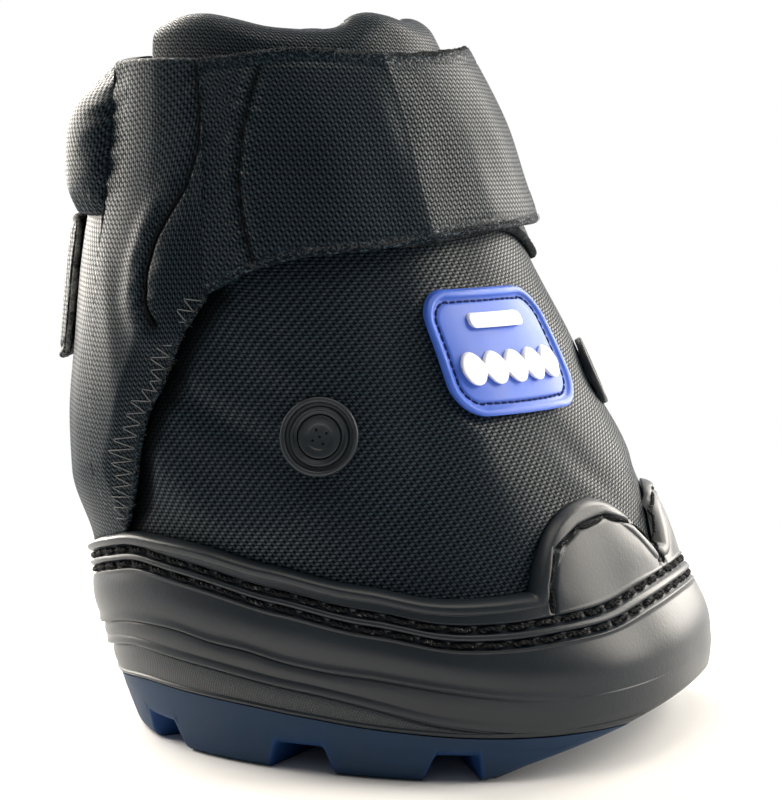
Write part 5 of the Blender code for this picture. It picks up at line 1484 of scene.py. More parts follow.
def place_vent_holes(piece):
    """A round hole through a layer at each vent."""
    for side in VENT_PLACES:
        profile = [(0, -12 * MM), (6.3 * MM, -12 * MM), (6.3 * MM, 6 * MM), (0, 6 * MM)]
        cut_out(piece, turned_piece(f"{side}_hole", profile, side, 40))


def bead(radius, height, size, start, end, count):
    """Radius and height of points round a bead's section, between two angles in radians."""
    turns = np.linspace(start, end, count)
    return [(radius + size * math.cos(t), height + size * math.sin(t)) for t in turns]


def pin(middle, across, up, out):
    """Points, quads and triangles of a round pin along a vent's axis, for one of the disc's holes."""
    sides, radius, below, above = 12, 0.3 * MM, 2 * MM, 3 * MM
    spin = np.linspace(0, math.tau, sides, endpoint=False)
    ring = middle + radius * (np.cos(spin)[:, None] * across + np.sin(spin)[:, None] * up)
    ends = [middle - below * out, middle + above * out]
    points = np.concatenate([ring - below * out, ring + above * out, ends])
    k = np.arange(sides)
    after = (k + 1) % sides
    quads = np.stack([k, after, after + sides, k + sides], -1)
    fans = [
        np.stack([after, k, 2 * sides + 0 * k], -1),
        np.stack([k + sides, after + sides, 2 * sides + 1 + 0 * k], -1),
    ]
    return points, quads, np.concatenate(fans)


def build_vents():
    """Three vents, each a beaded bezel, a dished disc with five pin holes, and a washer, turned round it."""
    s, c = boot().shell, boot().cloth
    lining_face = -(c.vamp_thickness + s.gap + c.lining_thickness)
    washer_top = lining_face - s.gap - 1.0 * MM
    bore, barrel, disc_top, pin_circle = 5.1 * MM, 6.0 * MM, 1.12 * MM, 1.75 * MM
    bezel = [
        (bore, washer_top - MM), (barrel, washer_top - MM), (barrel, 0.25 * MM), (8.6 * MM, 0.25 * MM),
        (8.82 * MM, 0.6 * MM), *bead(8.25 * MM, 1.38 * MM, 0.62 * MM, -0.5, math.pi - 0.1, 12),
        (7.45 * MM, 1.0 * MM), (6.9 * MM, 0.9 * MM), *bead(6.25 * MM, 1.2 * MM, 0.42 * MM, 0.3, math.pi, 9),
        (5.62 * MM, 0.95 * MM), (bore, 0.9 * MM),
    ]
    disc = [(radius * MM, disc_top - depth * MM) for radius, depth in VENT_DISC]
    washer = [(radius * MM, washer_top - depth * MM) for radius, depth in VENT_WASHER]
    for side in VENT_PLACES:
        piece = turned_piece(f"{side}_bezel", bezel, side, 96)
        finish_piece(piece, "vent", f"{side}_vent_bezel", sharp=50)
        piece = turned_piece(f"{side}_disc", disc, side, 72)
        here, across, up, out = vent_frame(side)
        middles = [here] + [
            here + pin_circle * math.cos(t) * across + pin_circle * math.sin(t) * up
            for t in np.arange(4) * math.pi / 2 + 0.5
        ]
        cut_out(piece, new_piece(f"{side}_pins", *join([pin(middle, across, up, out) for middle in middles])))
        finish_piece(piece, "vent", f"{side}_vent_disc")
        piece = turned_piece(f"{side}_washer", washer, side, 64)
        finish_piece(piece, "vent", f"{side}_vent_washer", sharp=50)


def build_front_collar():
    """The padded collar: a thick slab whose top is a half round, quilted by shallow bells along its seams."""
    s, c = boot().shell, boot().cloth
    low = c.vamp_top + s.gap
    angle = np.linspace(-119, 119, 239)
    up = np.concatenate([np.linspace(0, 0.80, 34), 0.80 + 0.20 * np.sin(np.linspace(0, np.pi / 2, 15)[1:])])
    a, part = np.meshgrid(angle, up, indexing="ij")
    high = c.front_collar_top - c.front_collar_dip * side_share(FRONT_COLLAR_DIP_SHARES, a)
    h = mix(low, high, part)
    left = np.clip((high - h) / (4.4 * MM), 0, 1)
    full = 0.06 + 0.94 * np.sqrt(1 - (1 - left) ** 2)
    middle = -s.gap - c.front_collar_thickness / 2
    outer = middle + full * c.front_collar_thickness / 2
    inner = middle - full * c.front_collar_thickness / 2
    puckers = 0.3 * MM * bump(a - 30, 2.2) + 0.25 * MM * bump(a + 36, 2.4) + 0.2 * MM * bump(a - 75, 2.5)
    inner = inner + puckers * ramp(left * 2)
    piece = slab("front_collar", a, h, inner, outer, 0.5 * MM, origin=-20)
    finish_piece(piece, "cloth_collar", "front_collar_pad")


def build_quarters():
    """Both quarters: padded slabs with a thin front edge, a tuck, and bells of wrinkles near the heel."""
    c = boot().cloth
    strap_face = c.strap_seam_stand + c.strap_thickness
    for side, sign, edge_stand in (("near", -1, strap_face), ("far", 1, 2.1 * MM)):
        from_toe = np.concatenate([
            np.linspace(c.seam_angle + 0.12, c.quarter_step, 110),
            np.linspace(c.quarter_step + 0.12, c.quarter_end, 70),
        ])
        a, part = np.meshgrid(from_toe, edge_shares(76, 0.012), indexing="ij")
        low, high = quarter_low(a), quarter_high(a)
        h = mix(low, high, part)
        outer = quarter_face(a, h, edge_stand)
        seam = ramp((a - c.quarter_step + 7) / 7) * ramp((h - c.quarter_rear_top - 1 * MM) / (6 * MM))
        seam = seam * (a <= c.quarter_step + 0.05)
        waves = np.sin((h / MM) * 1.25 + 1.2 * np.sin(h / MM * 0.35)) * bump(a - c.quarter_step + 2, 5)
        over_rear = ramp((h - c.quarter_rear_top) / (4 * MM)) * (seam > 0)
        outer = outer + 0.3 * MM * seam**2 + 0.3 * MM * waves * over_rear
        distance, along = near_seam(a, h, QUARTER_SEAM, arc_between(95, 125, 110 * MM) / 30)
        lower = ramp(along * 2.4 - 0.6)
        outer = outer - mix(0.5, 1.1, lower) * MM * bump(distance, 0.85 * MM)
        gathers = 0.25 * MM * np.sin(along * 75 + 2 * np.sin(along * 21))
        outer = outer + gathers * bump(distance - 1.8 * MM, 1.1 * MM)
        outer = outer + mix(0.1, 0.7, lower) * MM * bump(distance - 3.6 * MM, 2.6 * MM)
        fold = 0.5 * MM * bump((a - 118 - 0.25 * (h / MM - 92)), 4) * bump(h / MM - 92, 26)
        outer = outer + fold - 0.4 * MM * bump(a - 142, 5) * bump(h / MM - 78, 30)
        # Painted shade in the quarter's seam, darker towards its lower end.
        shade = mix(0.3, 0.8, lower) * bump(distance, 0.8 * MM)
        piece = slab(f"{side}_rear_quarter", sign * a, h, c.quarter_gap, outer, 0.9 * MM, origin=sign * 105,
                     marks={"shade": shade}, ends=(False, True))
        finish_piece(piece, "cloth", f"{side}_quarter")
        build_overlock(side, sign, edge_stand)
        line, level = seam_line(QUARTER_SEAM)
        stand = quarter_face(line, level, edge_stand) - 0.35 * MM
        make_stitches(f"{side}_quarter_seam", (sign * line, level, stand), "seam_thread", 0.26 * MM, 3.0 * MM,
                      0.5 * MM)
        at = np.linspace(c.seam_angle + 1, c.quarter_foot - 0.5, 200)
        fray(f"{side}_quarter_fibres", sign * at, quarter_low(at) + 0.5 * MM,
             c.quarter_gap + c.quarter_edge - 0.2 * MM, "root", 420)


def build_overlock(side, sign, edge_stand):
    """The overlock along a quarter's front edge: a fine thread that swings between two distances from it."""
    c = boot().cloth
    from_toe = np.linspace(c.seam_angle + 1.2, c.quarter_foot - 0.6, 240)
    low = quarter_low(from_toe)
    line = on_form(sign * from_toe, low)
    lengths = np.concatenate([[0], np.cumsum(np.linalg.norm(np.diff(line, axis=0), axis=1))])
    count = int(lengths[-1] / (1.4 * MM))
    corner = np.linspace(0, lengths[-1], count)
    at = np.interp(corner, lengths, from_toe)
    uneven = 0.5 * np.sin(np.arange(count) * 2.4)
    swing = np.where(np.arange(count) % 2 == 0, 0.4, 3.1 + uneven) * MM
    slope = np.gradient(quarter_low(at), corner)
    turn_in = np.sqrt(np.clip(1 - slope**2, 0.05, 1))
    scale = np.interp(at, from_toe, np.gradient(lengths, from_toe)) * turn_in
    height = quarter_low(at) + swing * turn_in
    moved = at + swing * np.abs(slope) / np.maximum(scale, 0.4 * MM)
    moved = np.minimum(moved, c.quarter_foot + 3)
    fine = np.linspace(0, count - 1, (count - 1) * 5 + 1)
    b = np.interp(fine, np.arange(count), moved)
    h = np.interp(fine, np.arange(count), height)
    into = np.abs(fine - np.round(fine)) < 0.01
    stand = quarter_face(b, h, edge_stand) + 0.42 * MM - np.where(into, 0.42 * MM, 0)
    path = on_form(sign * b, h, stand)
    piece = new_piece(f"{side}_overlock", *tube(path, outward(sign * b, h), 0.13 * MM, 5))
    finish_piece(piece, "overlock")


def crease_lift(h):
    """How far the crease's hinge line, which is straight, lies over the strap's plain face at each height."""
    c = boot().cloth
    low, high = float(strap_bottom(c.crease_angle)), float(strap_top(c.crease_angle))
    face = float(strap_inner(np.array(c.crease_angle))) + c.strap_thickness
    first, last = on_form(np.array([c.crease_angle] * 2), np.array([low, high]), face + 0.4 * MM)
    line = first + (last - first) * ((h - low) / (high - low))[..., None]
    angle = c.crease_angle + 0 * h
    return np.sum((line - on_form(angle, h, face)) * outward(angle, h), axis=-1)


def strap_marks(a, h):
    """How far the sewn box's groove and the crease lift a strap's stand, and the painted shade in the groove.
    """
    c = boot().cloth
    distance, along = near_seam(a, h, BOX_SEAM, arc_between(-84, -37, 130 * MM) / 47)
    pucker = 0.3 * MM * np.sin(along * 70 + 2 * np.sin(along * 23))
    lift = -0.7 * MM * bump(distance, 0.9 * MM) + (0.2 * MM + pucker) * bump(distance - 1.9 * MM, 1.1 * MM)
    away = np.abs(a - c.crease_angle)
    crease = 1.2 * MM * np.maximum(1 - away / 20, 0) ** 1.2 - 1.35 * MM * bump(away, 24)
    crease = crease + (crease_lift(h) + 0.11 * MM) * bump(away, 5)
    lift = lift * ramp(away / 3)
    # The third value is painted shade along the box's groove, uneven with its puckers.
    return lift, crease, (0.45 + 0.35 * np.sin(along * 70)) * bump(distance, 0.8 * MM)


def build_strap():
    """The strap's base and tip: slabs over the grips, with a sewn box, a crease and soft rolling edges."""
    c = boot().cloth
    for name, start, end, body in (
        ("strap", -c.seam_angle, c.crease_angle, "strap_base"),
        ("strap_end", c.crease_angle + 0.05, c.strap_end, "strap_tip"),
    ):
        a, part = sheet_grid(start, end, (150 if name == "strap" else 130, 0.012), (110, 0.01))
        low, high = strap_bottom(a), strap_top(a)
        if name == "strap_end":
            scale = arc_between(0, c.strap_end, 140 * MM) / c.strap_end
            low = low + corner_rise((c.strap_end - a) * scale, c.strap_corner)
            high = high - corner_rise((c.strap_end - a) * scale, 2.5 * MM)
        h = mix(low, high, part)
        inner = strap_inner(a)
        # shade is painted shade in the sewn box's groove.
        lift, crease, shade = strap_marks(a, h)
        outer = inner + c.strap_thickness + lift + crease
        ripple = 0.22 * MM * np.sin(a * 0.30 + h / MM * 0.05) * bump(h / MM - 134, 20)
        ripple = ripple * ramp(np.abs(a - c.crease_angle) / 8)
        hem = -0.35 * MM * (bump((high - h - 3.2 * MM) / MM, 0.7) + bump((h - low - 2.6 * MM) / MM, 0.7))
        outer = outer + ripple + hem * ramp(np.abs(a - c.crease_angle) / 3)
        if name == "strap_end":
            outer = outer + 0.8 * MM * ramp((a - c.strap_end + 10) / 10) * 0.4
        piece = slab(name, a, h, inner, outer, 1.0 * MM, origin=c.crease_angle, hem=3.6 * MM,
                     marks={"shade": shade}, ends=(False, name == "strap_end"))
        finish_piece(piece, "cloth", body, body=body)
        declare_sheet(a, h, inner)
        line = np.linspace(start + (3 if name == "strap_end" else 0.5), end - 3, 200)
        for edge, level in (("lower", strap_bottom(line) + 1.2 * MM), ("upper", strap_top(line) - 0.6 * MM)):
            fray(f"{name}_{edge}_fibres", line, level, strap_inner(line) + c.strap_thickness * 0.8, body,
                 400 if edge == "lower" else 160)
    line, level = seam_line(BOX_SEAM)
    stand = strap_inner(line) + c.strap_thickness - 0.65 * MM
    make_stitches("strap_box_stitching", (line, level, stand), "seam_thread", 0.26 * MM, 3.0 * MM, 0.5 * MM,
                  body="strap_base")
    build_strap_edges()


def build_strap_edges():
    """The brushed binding that shows along the strap's upper and lower edges: a flat tube along each."""
    c = boot().cloth
    for name, start, end, body in (("strap", -c.seam_angle + 0.5, c.crease_angle - 0.1, "strap_base"),
                                   ("strap_end", c.crease_angle + 0.4, c.strap_end - 1.5, "strap_tip")):
        parts = []
        for top in (True, False):
            a = np.linspace(start, end, 120)
            scale = arc_between(0, c.strap_end, 140 * MM) / c.strap_end
            rounded = name == "strap_end" and not top
            rise = corner_rise((c.strap_end - a) * scale, c.strap_corner) if rounded else 0
            uneven = 0.18 * MM * np.sin(a * 9.0) + 0.12 * MM * np.sin(a * 23.0)
            h = (strap_top(a) - 0.75 * MM) if top else (strap_bottom(a) + rise + 0.75 * MM)
            _, crease, _ = strap_marks(a, h)
            stand = strap_inner(a) + c.strap_thickness / 2 + crease / 2 + 0.05 * MM
            path = on_form(a, h + uneven * 0.5, stand)
            parts.append(tube(path, outward(a, h), 0.75 * MM + uneven * 0.7, 10))
        piece = new_piece(f"{name}_binding", *join(parts))
        finish_piece(piece, "fuzzy", body=body)


def build_flap():
    """The far flap under the strap, with a brushed rolled lower edge."""
    c, s = boot().cloth, boot().shell
    a, part = sheet_grid(-45.0, c.seam_angle, (190, 0.008), (80, 0.012))
    h = mix(flap_bottom(a), c.flap_top, part)
    stand = s.gap + c.flap_thickness
    outer = stand + 0.35 * MM * np.sin(a * 0.21) * bump(h / MM - 140, 14) * ramp((a - 30) / 20)
    piece = slab("flap", a, h, s.gap, outer, 0.8 * MM, origin=24)
    finish_piece(piece, "cloth", "far_flap", body="far_flap")
    declare_sheet(a, h, stand)
    a = np.linspace(-44.5, c.seam_angle - 1, 260)
    uneven = 0.15 * MM * np.sin(a * 7.0) + 0.1 * MM * np.sin(a * 19.0)
    parts = []
    for height in (flap_bottom(a) + 0.7 * MM, c.flap_top - 0.7 * MM + 0 * a):
        path = on_form(a, height, stand / 2 + 0.15 * MM)
        parts.append(tube(path, outward(a, height), 1.05 * MM + uneven, 10))
    piece = new_piece("flap_binding", *join(parts))
    finish_piece(piece, "fuzzy", body="far_flap")


def build_grips():
    """The hook and loop patches as thin slabs, each between a low and a high level."""
    c = boot().cloth
    strap_margin, flap_margin, tab_margin = 6 * MM, 3 * MM, 4 * MM

    def over_flap(a):
        low = np.maximum(flap_bottom(a), strap_bottom(np.minimum(a, c.strap_end)))
        return low + strap_margin, c.flap_top - flap_margin

    def under_strap(a):
        return strap_bottom(a) + strap_margin, strap_top(a) - strap_margin

    def on_tab(_):
        return c.tab_bottom + tab_margin, c.tab_top - tab_margin

    for name, start, end, levels, stand, body, node in (
        ("flap_loop", -38, 40, over_flap, 2.55 * MM, "far_flap", "flap_loop_patch"),
        ("strap_hook", -34, 18, under_strap, 3.5 * MM, "strap_tip", "strap_hook_patch"),
        ("heel_hook", 184, 203, on_tab, 6.75 * MM, "heel_tab", "heel_hook_patch"),
        ("heel_loop", 184, 206, on_tab, 5.8 * MM, "root", "heel_loop_patch"),
    ):
        a, part = sheet_grid(start, end, (40, 0.02), (30, 0.02))
        low, high = levels(a)
        piece = slab(name, a, mix(low, high, part), stand, stand + 0.5 * MM, 0.3 * MM)
        finish_piece(piece, "grip", node, body=body)


def build_rear_collars():
    """Both rear collar pads: stuffed rolls whose stand follows a table of shares, puckered at their seams."""
    c = boot().cloth
    low = c.quarter_rear_top - 1.4 * MM
    for side, sign in (("near", -1), ("far", 1)):
        start = c.quarter_step + 0.15
        a, part = sheet_grid(start, c.quarter_end, (110, 0.03), (70, 0.03))
        h = mix(low, c.collar_top, part)
        along = (a - start) / (c.quarter_end - start)
        ends = np.sqrt(np.clip(1 - np.clip(1 - np.minimum(along * 0.7, 1 - along) / 0.25, 0, 1) ** 2, 0, 1))
        level = (c.quarter_gap + c.quarter_thickness - 0.2 * MM) / c.collar_stand
        outer = mix(level, 1, ends) * c.collar_stand * smooth(COLLAR_SHARES, part)[..., 1]
        waves = np.sin(part * 34 + 1.5 * np.sin(part * 9)) * ramp(1 - along / 0.16) * ramp(along / 0.02)
        seams = bump(part - 0.05, 0.12) + bump(part - 0.95, 0.12)
        pucker = 0.45 * MM * waves + 0.35 * MM * np.abs(np.sin(a * 1.15)) * seams
        piece = slab(f"{side}_collar", sign * a, h, -c.collar_depth, outer - pucker, 1.4 * MM,
                     origin=sign * 150)
        finish_piece(piece, "cloth", f"{side}_collar_pad")


def build_heel_tab():
    """The heel tab and its anchor, with a frayed edge round the tab, whose end hugs the boot."""
    c = boot().cloth
    stand, tab_start, tab_end = 7.55 * MM, 140.4, 208
    scale = arc_between(180, tab_end, 105 * MM) / (tab_end - 180)

    def corners(angle):
        return corner_rise((tab_end - angle) * scale, 5 * MM)

    def hug(angle):
        return 1.6 * MM * ramp((angle - tab_end + 5) / 5)

    for name, start, end, inner, body, node in (
        ("heel_strap", tab_start, tab_end, stand, "heel_tab", "heel_tab"),
        ("heel_anchor", 120, 140, 5.8 * MM, "root", "heel_tab_anchor"),
    ):
        a, part = sheet_grid(start, end, (90, 0.012), (56, 0.02))
        rise, closer = (corners(a), hug(a)) if name == "heel_strap" else (0, 0)
        h = mix(c.tab_bottom + rise, c.tab_top - rise, part)
        off_lower, off_upper = h - c.tab_bottom - rise, c.tab_top - rise - h
        hems = bump((off_lower - 2.4 * MM) / MM, 0.6) + bump((off_upper - 2.4 * MM) / MM, 0.6)
        outer = stand + c.tab_thickness - closer - 0.35 * MM * hems
        piece = slab(name, a, h, inner - closer, outer, 0.9 * MM, origin=170)
        finish_piece(piece, "cloth", node, body=body)
        declare_sheet(a, h, stand)
    a = np.linspace(tab_start + 0.6, tab_end - 0.4, 160)
    uneven = 0.15 * MM * np.sin(a * 8.0) + 0.1 * MM * np.sin(a * 21.0)
    low = np.stack([a, c.tab_bottom + 0.7 * MM + corners(a)], -1)
    high = np.stack([a, c.tab_top - 0.7 * MM - corners(a)], -1)
    loop = np.concatenate([low, high[::-1]])
    uneven = np.concatenate([uneven, uneven[::-1]])
    path = on_form(loop[:, 0], loop[:, 1], stand + c.tab_thickness / 2 - hug(loop[:, 0]))
    normal = outward(loop[:, 0], loop[:, 1])
    piece = new_piece("heel_strap_binding", *tube(path, normal, 0.72 * MM + uneven, 10))
    finish_piece(piece, "frayed", body="heel_tab")


def patch_scale():
    """Metres in a degree over the patch."""
    c = boot().cloth
    ends = (c.patch_angle - c.patch_half_angle, c.patch_angle + c.patch_half_angle)
    return arc_between(*ends, c.patch_middle) / (2 * c.patch_half_angle)


def patch_distance(a, h):
    """Distance inside the patch's outline: that of a box with round corners, with its sign turned."""
    c, scale = boot().cloth, patch_scale()
    x = np.abs(a - c.patch_angle) * scale - (c.patch_half_angle * scale - c.patch_corner)
    y = np.abs(h - c.patch_middle) - (c.patch_height / 2 - c.patch_corner)
    outside = np.hypot(np.maximum(x, 0), np.maximum(y, 0)) + np.minimum(np.maximum(x, y), 0)
    return c.patch_corner - outside


def build_patch():
    """The blue patch: a plate with a raised round rim, a sewn line inside it, and its two figures."""
    c, s, scale = boot().cloth, boot().shell, patch_scale()
    angle = np.linspace(-1, 1, 170) * c.patch_half_angle + c.patch_angle
    a, part = np.meshgrid(angle, np.linspace(0, 1, 120), indexing="ij")
    ends = (c.patch_half_angle - np.abs(a - c.patch_angle)) * scale
    half = c.patch_height / 2 - corner_rise(ends, c.patch_corner)
    h = c.patch_middle + half * (2 * part - 1)
    inside = np.maximum(patch_distance(a, h), 0)
    face, rim_half, sewn_in = s.gap + 1.3 * MM, 0.95 * MM, 2.75 * MM
    rim = 0.85 * MM * np.sqrt(np.clip(1 - ((inside - rim_half) / rim_half) ** 2, 0, 1))
    channel = -0.35 * MM * bump((inside - sewn_in) / MM, 0.45)
    outer = face + rim + channel
    outer = mix(s.gap + 0.5 * MM, outer, np.clip(inside / (0.12 * MM), 0, 1))
    piece = slab("patch", a, h, s.gap, outer, 0.05 * MM)
    finish_piece(piece, "patch", "patch_base", sharp=60)
    half_width = c.patch_half_angle * scale
    x, y = patch_seam(half_width - sewn_in, c.patch_height / 2 - sewn_in, c.patch_corner - sewn_in)
    line = (c.patch_angle + x / scale, c.patch_middle + y, face - 0.18 * MM)
    make_stitches("patch_stitching", line, "patch_thread", 0.27 * MM, 2.1 * MM, 0.4 * MM, sides=7)
    build_figures(face + s.gap, scale)


def patch_seam(width, height, corner):
    """Points round a box with round corners, from its half sizes: a power curve, set in at the corners."""
    t = np.linspace(0, math.tau, 400)
    x = np.sign(np.cos(t)) * np.minimum(np.abs(np.cos(t)) ** 0.35, 1) * width
    y = np.sign(np.sin(t)) * np.minimum(np.abs(np.sin(t)) ** 0.35, 1) * height
    over_x, over_y = np.abs(x) - (width - corner), np.abs(y) - (height - corner)
    both = (over_x > 0) & (over_y > 0)
    reach = np.hypot(np.maximum(over_x, 1e-9), np.maximum(over_y, 1e-9))
    x = np.where(both, np.sign(x) * (width - corner + corner * over_x / reach), x)
    y = np.where(both, np.sign(y) * (height - corner + corner * over_y / reach), y)
    return x, y


def build_figures(face, scale):
    """The white bar and the white chain: plates whose stand falls along a quarter circle at their borders."""
    c = boot().cloth
    for name, half_angle, middle, half, node in (
        ("patch_figure_bar", 9.0, c.patch_middle + 7 * MM, lambda x: 1.7 * MM + 0 * x, "patch_bar"),
        ("patch_figure_chain", CHAIN_HALF_ANGLE, c.patch_middle - 3.4 * MM, chain_half, "patch_lozenges"),
    ):
        angle = np.linspace(-half_angle, half_angle, 181)
        x, part = np.meshgrid(angle, np.linspace(0, 1, 41), indexing="ij")
        off_end = (half_angle - np.abs(x)) * scale
        low = middle - half(x) + corner_rise(off_end, 1.6 * MM)
        high = middle + half(x) - corner_rise(off_end, 1.6 * MM)
        h = mix(low, high, part)
        border = np.minimum.reduce([h - low, high - h, off_end])
        fall = 1 - np.sqrt(1 - np.clip(1 - border / (0.5 * MM), 0, 1) ** 2)
        outer = face + 0.9 * MM - 0.35 * MM * fall
        piece = slab(name, x + c.patch_angle, h, face - 0.25 * MM, outer, 0.05 * MM)
        finish_piece(piece, "white", node, sharp=50)


def chain_half(x):
    """Half the height of the chain at an angle from its middle: five round lozenges and their necks."""
    link = 2 * CHAIN_HALF_ANGLE / 5
    along = (x + CHAIN_HALF_ANGLE) / link
    away = np.abs(2 * (along % 1) - 1)
    return mix(3.7, 1.1, away**2.2) * MM


def build_stage():
    """The floor, the world, the lamps and the camera."""
    build_floor()
    build_world()
    for name, azimuth, elevation, distance, width, height, power in LAMPS:
        data = bpy.data.lights.new(name, "AREA")
        data.shape = "RECTANGLE"
        data.size = width
        data.size_y = height
        data.energy = power
        data.color = LAMP_TINT
        stand_round(data, azimuth, elevation, distance, LAMP_TARGET)
    studio = boot().studio
    data = bpy.data.cameras.new("camera")
    data.lens = studio.lens
    data.sensor_width = studio.sensor
    data.clip_start = 10 * MM
    camera = stand_round(data, studio.azimuth, studio.elevation, studio.distance, studio.target)
    bpy.context.scene.camera = camera
    bpy.context.scene.view_settings.view_transform = "Standard"


def stand_round(data, azimuth, elevation, distance, target):
    """A lamp or camera at two angles and a distance from a point over the boot's middle, facing it."""
    item = bpy.data.objects.new(data.name, data)
    bpy.context.scene.collection.objects.link(item)
    az, el = math.radians(azimuth), math.radians(elevation)
    way = Vector((math.sin(az) * math.cos(el), -math.cos(az) * math.cos(el), math.sin(el)))
    item.location = Vector((0, 0, target)) + way * distance
    item.rotation_euler = (-way).to_track_quat("-Z", "Y").to_euler()
    return item


def build_floor():
    """The pale floor and backdrop as one sheet, flat and then up a quarter round, square to the camera.

    Away from the boot it is seen as plain white, and close to it as a floor that takes the boot's shadow.
    """
    look, studio = boot().finish, boot().studio
    reach, start, bend, top = 3.0, 1.6, 0.9, 4.0
    quarter = np.linspace(0, np.pi / 2, 14)[1:]
    across = np.linspace(-reach, reach, 3)
    along = np.concatenate([[-reach, start], start + np.sin(quarter) * bend, [start + bend]])
    lift = np.concatenate([[0, 0], bend - bend * np.cos(quarter), [top]])
    yaw = math.radians(studio.azimuth)
    x, i = np.meshgrid(across, np.arange(len(along)), indexing="ij")
    back = along[i]
    points = np.stack([x * math.cos(yaw) - back * math.sin(yaw), x * math.sin(yaw) + back * math.cos(yaw),
                       lift[i]], -1)
    floor = new_piece("floor", points, grid_quads(len(across), len(along)))
    if floor.data.polygons[0].normal.z < 0:
        floor.data.flip_normals()
    f = Finish("floor", roughness=0.9, specular=0.0)
    f.set("Base Color", tuple(look.floor))
    seen = f.ray("Camera").most(f.ray("Glossy")).most(f.ray("Transmission"))
    white = f.node("ShaderNodeEmission", {}, {"Color": WHITE, "Strength": 1.0})
    x, y, _ = f.split(f.place())
    keep = f.spread((x * x + y * y) ** 0.5, 90 * MM, 300 * MM) * seen
    surface = f.node("ShaderNodeMixShader", {}, {0: keep, 1: Socket(f, f.shader.outputs[0]), 2: white})
    f.link(surface, f.tree.nodes["Material Output"].inputs["Surface"])
    floor.data.materials.append(f.material)


def build_world():
    """A world that the camera sees as white, gloss in part, and that lights the boot only a little."""
    studio = boot().studio
    world = bpy.data.worlds.new("studio")
    bpy.context.scene.world = world
    world.use_nodes = True
    nodes = Nodes(world.node_tree)
    background = world.node_tree.nodes["Background"]
    seen = nodes.ray("Camera").most(nodes.ray("Transmission")).most(nodes.ray("Glossy") * studio.gloss_sky)
    nodes.link(WHITE, background.inputs["Color"])
    nodes.link(nodes.spread(seen, 0.0, 1.0, studio.sky, 1.0), background.inputs["Strength"])


class HOOFBOOT_OT_stage(bpy.types.Operator):
    """Make the floor, the lights and the camera"""

    bl_idname = "hoof_boot.stage"
    bl_label = "Stage"

    def execute(self, context):
        build_stage()
        return {"FINISHED"}


class HOOFBOOT_OT_shell(bpy.types.Operator):
    """Build the moulded shell"""

    bl_idname = "hoof_boot.shell"
    bl_label = "Rubber shell"

    def execute(self, context):
        build_shell()
        return {"FINISHED"}


class HOOFBOOT_OT_tread(bpy.types.Operator):
    """Build the lugged outsole"""

    bl_idname = "hoof_boot.tread"
    bl_label = "Outsole"

    def execute(self, context):
        build_tread()
        return {"FINISHED"}


class HOOFBOOT_OT_inside(bpy.types.Operator):
    """Build the liner board and the comfort pad"""

    bl_idname = "hoof_boot.inside"
    bl_label = "Board and pad"

    def execute(self, context):
        build_inside()
        return {"FINISHED"}


class HOOFBOOT_OT_threads(bpy.types.Operator):
    """Sew the rim and the toe lobes"""

    bl_idname = "hoof_boot.threads"
    bl_label = "Shell stitching"

    def execute(self, context):
        build_threads()
        return {"FINISHED"}


class HOOFBOOT_OT_vamp(bpy.types.Operator):
    """Build the vamp and its lining"""

    bl_idname = "hoof_boot.vamp"
    bl_label = "Vamp and lining"

    def execute(self, context):
        build_vamp()
        return {"FINISHED"}


class HOOFBOOT_OT_vents(bpy.types.Operator):
    """Build the three vents"""

    bl_idname = "hoof_boot.vents"
    bl_label = "Vents"

    def execute(self, context):
        build_vents()
        return {"FINISHED"}


class HOOFBOOT_OT_front_collar(bpy.types.Operator):
    """Build the padded front collar"""

    bl_idname = "hoof_boot.front_collar"
    bl_label = "Front collar"

    def execute(self, context):
        build_front_collar()
        return {"FINISHED"}


class HOOFBOOT_OT_quarters(bpy.types.Operator):
    """Build both quarters and their overlock"""

    bl_idname = "hoof_boot.quarters"
    bl_label = "Quarters"

    def execute(self, context):
        build_quarters()
        return {"FINISHED"}


class HOOFBOOT_OT_flap(bpy.types.Operator):
    """Build the flap under the strap"""

    bl_idname = "hoof_boot.flap"
    bl_label = "Far flap"

    def execute(self, context):
        build_flap()
        return {"FINISHED"}


class HOOFBOOT_OT_strap(bpy.types.Operator):
    """Build the strap's base and tip"""

    bl_idname = "hoof_boot.strap"
    bl_label = "Strap"

    def execute(self, context):
        build_strap()
        return {"FINISHED"}


class HOOFBOOT_OT_grips(bpy.types.Operator):
    """Build the hook and loop patches"""

    bl_idname = "hoof_boot.grips"
    bl_label = "Hook and loop"

    def execute(self, context):
        build_grips()
        return {"FINISHED"}


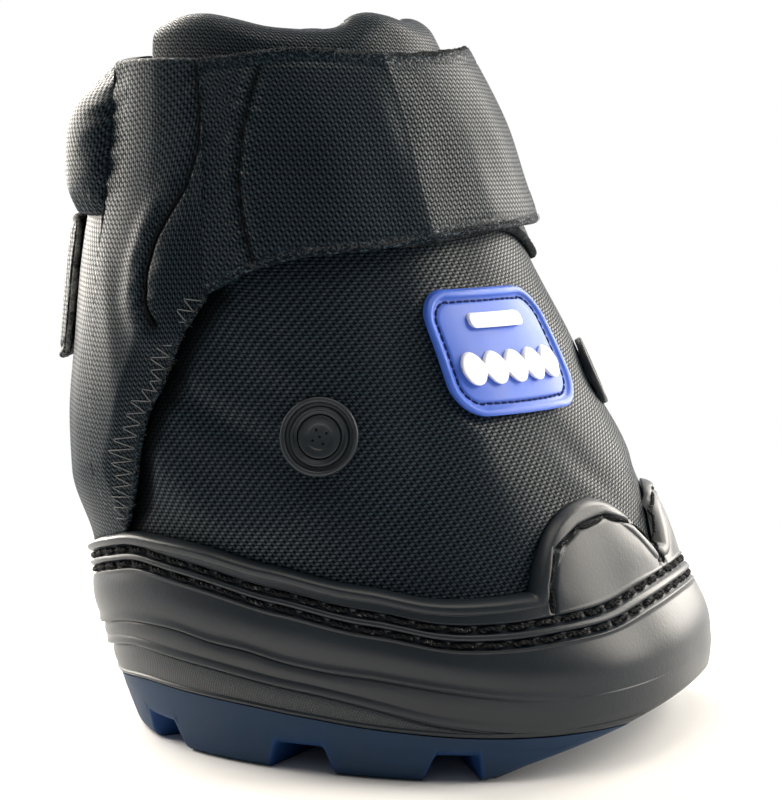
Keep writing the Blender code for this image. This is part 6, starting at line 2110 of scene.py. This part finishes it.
class HOOFBOOT_OT_rear_collars(bpy.types.Operator):
    """Build both rear collar pads"""

    bl_idname = "hoof_boot.rear_collars"
    bl_label = "Rear collars"

    def execute(self, context):
        build_rear_collars()
        return {"FINISHED"}


class HOOFBOOT_OT_heel_tab(bpy.types.Operator):
    """Build the heel tab and its anchor"""

    bl_idname = "hoof_boot.heel_tab"
    bl_label = "Heel tab"

    def execute(self, context):
        build_heel_tab()
        return {"FINISHED"}


class HOOFBOOT_OT_patch(bpy.types.Operator):
    """Build the sewn patch on the front"""

    bl_idname = "hoof_boot.patch"
    bl_label = "Patch"

    def execute(self, context):
        build_patch()
        return {"FINISHED"}


OPERATORS = (
    HOOFBOOT_OT_stage,
    HOOFBOOT_OT_shell,
    HOOFBOOT_OT_tread,
    HOOFBOOT_OT_inside,
    HOOFBOOT_OT_threads,
    HOOFBOOT_OT_vamp,
    HOOFBOOT_OT_vents,
    HOOFBOOT_OT_front_collar,
    HOOFBOOT_OT_quarters,
    HOOFBOOT_OT_flap,
    HOOFBOOT_OT_strap,
    HOOFBOOT_OT_grips,
    HOOFBOOT_OT_rear_collars,
    HOOFBOOT_OT_heel_tab,
    HOOFBOOT_OT_patch,
)


class HOOFBOOT_PT_panel(bpy.types.Panel):
    """Lists the boot's operators in the sidebar."""

    bl_idname = "HOOFBOOT_PT_panel"
    bl_label = "Hoof Boot"
    bl_space_type = "VIEW_3D"
    bl_region_type = "UI"
    bl_category = "Hoof Boot"

    def draw(self, context):
        for item in OPERATORS:
            self.layout.operator(item.bl_idname)


GROUPS = (BootForm, BootShell, BootCloth, BootFinish, BootStudio, BootSettings)
CLASSES = (*GROUPS, *OPERATORS, HOOFBOOT_PT_panel)


def register():
    for item in CLASSES:
        bpy.utils.register_class(item)
    bpy.types.Scene.hoof_boot = PointerProperty(type=BootSettings)


def unregister():
    del bpy.types.Scene.hoof_boot
    for item in reversed(CLASSES):
        bpy.utils.unregister_class(item)


def main():
    """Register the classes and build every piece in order."""
    register()
    for item in OPERATORS:
        group, name = item.bl_idname.split(".")
        getattr(getattr(bpy.ops, group), name)()


if __name__ == "__main__":
    main()
